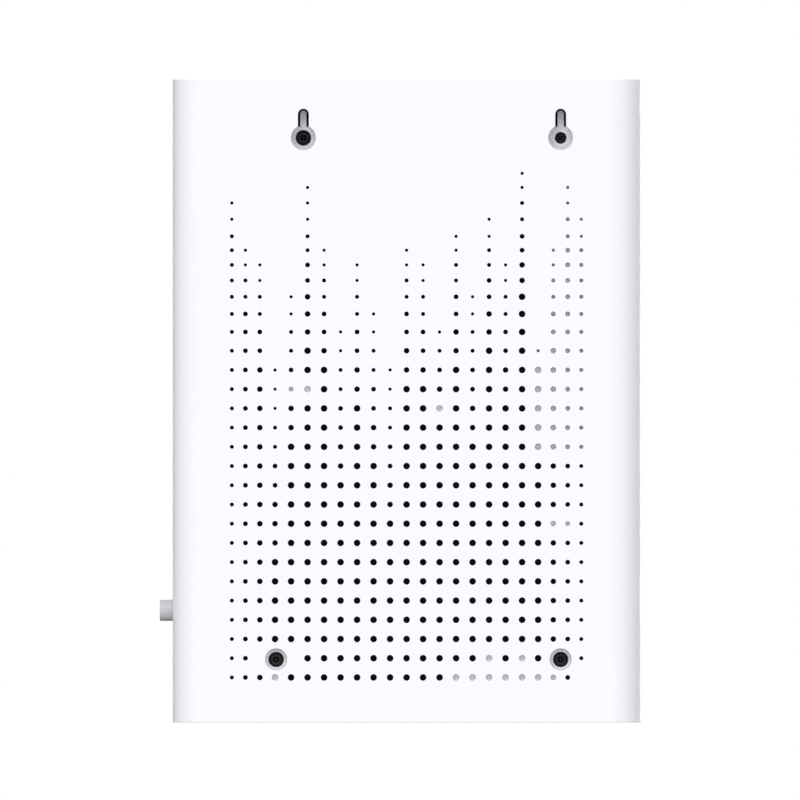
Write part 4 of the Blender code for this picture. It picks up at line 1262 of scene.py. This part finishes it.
def make_inductor(node):
    """Square ferrite body with a round core set in a groove."""
    low, high = box_mm(node)
    middle = (low + high) / 2
    radius, groove_width, groove_depth = (high.x - low.x) * 0.40, 0.5, 0.6
    groove = cut(rod(middle, low.y - 1.0, low.y + groove_depth, radius, 48),
                 rod(middle, low.y - 2.0, low.y + 1.0, radius - groove_width, 48))
    body = slab(low, high, 0.9, axis=1)
    soften(body, flat_edges(body), 0.2)
    finish_piece(node + "_core", cut(body, groove), "ferrite", [node])


def make_electronics():
    make_main_board()
    make_small_parts()
    make_packages()
    for node, pitch in (("main_shield_can", 0.0), ("radio_shield_can_1", 3.0), ("radio_shield_can_2", 3.0)):
        make_shield_can(node, pitch)
    make_heat_sink()
    for number in range(1, 4):
        make_capacitor(f"capacitor_{number}")
    for number in (1, 2):
        make_inductor(f"inductor_{number}")


# ---- antennas

def make_antenna(node, axis):
    """Small board with a folded copper track along an axis of its front face."""
    low, high = box_mm(node)
    finish_piece(node + "_board", block(low, high, 0.12), "antenna_board", [node])
    across = 2 - axis
    folds, width, margin = 9, 0.9, 1.2
    pitch = (high[axis] - low[axis] - 2 * margin - width) / folds
    track = bmesh.new()

    def lay(start, end):
        first, last = Vector((0.0, low.y - 0.04, 0.0)), Vector((0.0, low.y + 0.04, 0.0))
        first[axis], first[across] = start
        last[axis], last[across] = end
        block(first, last, 0.0, 1, track)

    left, right = low[across] + margin, high[across] - margin
    for fold in range(folds + 1):
        here = low[axis] + margin + fold * pitch
        lay((here, left), (here + width, right))
        if fold < folds:
            edge = right - width if fold % 2 else left
            lay((here + width, edge), (here + pitch, edge + width))
    finish_piece(node + "_track", track, "brass")


def make_antennas():
    for number, axis in ((1, 0), (2, 0), (3, 2), (4, 2)):
        make_antenna(f"antenna_{number}", axis)
    low, high = box_mm("antenna_carrier")
    plate_y = 12.2
    feet = [block((low.x + 1.0, low.y, z), (high.x - 1.0, plate_y + 0.5, z + 2.0), 0.25)
            for z in (low.z + 2.0, high.z - 5.0)]
    plate = slab((low.x, plate_y, low.z), high, 1.5, axis=1)
    finish_piece("antenna_carrier_moulding", join(plate, *feet), "white_plastic", ["antenna_carrier"])
    lead_radius, routes = 0.57, {}
    for number, side in ((1, 1), (2, -1)):
        routes[number] = ((side * 12, -12.3, 205.0), (side * 12, -11.6, 197.0), (side * 14, -6.5, 183.0),
                          (side * 18, 0.5, 170.0), (side * 22, 3.9, 161.0), (side * 23, 4.3, 153.0))
    for number, top_z, end_z in ((3, 160.0, 146.0), (4, 116.0, 128.0)):
        routes[number] = ((-50.0, 11.3, top_z), (-46.5, 11.1, top_z), (-41.0, 9.6, (top_z + end_z) / 2),
                          (-36.0, 8.3, end_z), (-30.0, 8.2, end_z))
    for number, stops in routes.items():
        shape = wire(smooth_route(stops, 8), lead_radius, 16)
        finish_piece(f"antenna_lead_{number}_wire", shape, "lead_jacket", [f"antenna_lead_{number}"])


# ---- switches

def make_power_switch():
    low, high = box_mm("power_switch")
    plunger_low, plunger_high = box_mm("power_switch_plunger")
    radius = plunger_high.z - BUTTON.z
    bore = rod(BUTTON_AXIS, plunger_low.x - 3.2, high.x + 1.0, radius + GAP, axis=0)
    finish_piece("power_switch_body", cut(block(low, high, 0.3), bore), "black_plastic", ["power_switch"])
    sheet = 0.25
    clip = cut(
        block((low.x + 1.0, low.y - sheet, low.z - sheet),
              (high.x - 3.0, high.y - 1.0, high.z + sheet), 0.12),
        block((low.x - 2.0, low.y - SPLIT, low.z - SPLIT),
              (high.x + 2.0, high.y + 2.0, high.z + SPLIT)),
    )
    finish_piece("power_switch_clip", clip, "tinned_steel")
    shape = rod(BUTTON_AXIS, plunger_low.x, plunger_high.x, radius, ease=0.35, axis=0)
    finish_piece("power_switch_stem", shape, "white_plastic", ["power_switch_plunger"], body="power_button")


def make_tact_switch(node, plunger, body):
    """Square switch with a metal face plate, worked by a plunger from below."""
    low, high = box_mm(node)
    stem_low, stem_high = box_mm(plunger)
    middle = (stem_low + stem_high) / 2
    radius = stem_high.x - middle.x
    bore = rod(middle, low.z - 1.0, low.z + 2.2, radius + GAP, axis=2)
    finish_piece(node + "_body", cut(block(low, high, 0.3), bore), "black_plastic", [node])
    plate = cut(
        block((low.x + 0.2, low.y + 0.2, low.z - 0.2), (high.x - 0.2, high.y - 1.0, low.z + 0.1), 0.06, 2),
        rod(middle, low.z - 2.0, low.z + 2.0, radius + GAP, axis=2),
    )
    finish_piece(node + "_plate", plate, "tinned_steel")
    shape = rod(middle, stem_low.z, stem_high.z, radius, ease=0.25, axis=2)
    finish_piece(plunger + "_stem", shape, "white_plastic", [plunger], body=body)


def make_switches():
    make_power_switch()
    make_tact_switch("wps_switch", "wps_switch_plunger", "wps_button")
    make_tact_switch("reset_switch", "reset_plunger", "reset_button")


# ---- stage

def make_floor():
    """Plain pale floor, a little under the router, that throws no light back on it."""
    half_side, drop = 12.0, 0.0004
    shape = bmesh.new()
    bmesh.ops.create_grid(shape, x_segments=1, y_segments=1, size=half_side)
    mesh = as_mesh(shape, "floor", orient=False)
    look = Look("floor_paint", Roughness=0.75)
    look.colour(look.blend(look.noise(180.0), (0.74, 0.74, 0.75, 1.0), (0.76, 0.76, 0.77, 1.0)))
    mesh.materials.append(look.material)
    floor = as_object(mesh)
    floor.location.z = -drop
    floor.visible_diffuse = False
    floor.visible_glossy = False


def make_world():
    """White to the camera; as a light it is a wide glow from above and behind the router's back."""
    world = bpy.data.worlds.new("studio")
    world.use_nodes = True
    bpy.context.scene.world = world
    world.node_tree.nodes.clear()
    sky = Tree(world.node_tree)
    lean = sky.node("ShaderNodeVectorMath", operation="DOT_PRODUCT")
    sky.feed(lean.inputs[0], sky.node("ShaderNodeTexCoord").outputs["Generated"])
    sky.feed(lean.inputs[1], GLOW_LEAN)
    level = sky.calc(sky.calc(lean.outputs["Value"], 1.0), GLOW_LEVEL, "MULTIPLY")
    strengths = (sky.calc(level, 0.0, "MAXIMUM"), 1.0)
    mix = sky.node("ShaderNodeMixShader")
    sky.feed(mix.inputs[0], sky.node("ShaderNodeLightPath").outputs["Is Camera Ray"])
    for socket, strength in zip(mix.inputs[1:], strengths):
        background = sky.node("ShaderNodeBackground")
        sky.feed(background.inputs["Color"], (1.0, 1.0, 1.0, 1.0))
        sky.feed(background.inputs["Strength"], strength)
        sky.feed(socket, background.outputs[0])
    sky.feed(sky.node("ShaderNodeOutputWorld").inputs["Surface"], mix.outputs[0])


def make_sun(name, strength, spread, direction):
    """Soft distant light shining from a direction."""
    light = bpy.data.lights.new(name, "SUN")
    light.energy = strength
    light.angle = math.radians(spread)
    lamp = bpy.data.objects.new(name, light)
    lamp.rotation_euler = Vector(direction).to_track_quat("Z", "Y").to_euler()
    bpy.context.scene.collection.objects.link(lamp)


def make_camera():
    """Level view straight at the back, without perspective."""
    data = bpy.data.cameras.new("camera")
    data.type = "ORTHO"
    data.ortho_scale = VIEW_WIDTH
    camera = bpy.data.objects.new("camera", data)
    low, high = CAD_BOX
    middle_x, middle_z = (low[0] + high[0]) / 2, (low[2] + high[2]) / 2
    camera.location = (middle_x + VIEW_ASIDE, high[1] + 1.0, middle_z + VIEW_ABOVE)
    camera.rotation_euler = (math.radians(90), 0.0, math.radians(180))
    bpy.context.scene.collection.objects.link(camera)
    bpy.context.scene.camera = camera


def make_studio():
    make_floor()
    make_world()
    for name, (strength, spread, direction) in SUNS.items():
        make_sun(name, strength, spread, direction)
    make_camera()
    bpy.context.scene.view_settings.view_transform = "Standard"


dress_frame()
make_back_shell()
make_front_shell()
make_port_panel()
make_sockets()
make_buttons()
make_switches()
make_screws()
make_light_guide()
make_electronics()
make_antennas()
make_studio()
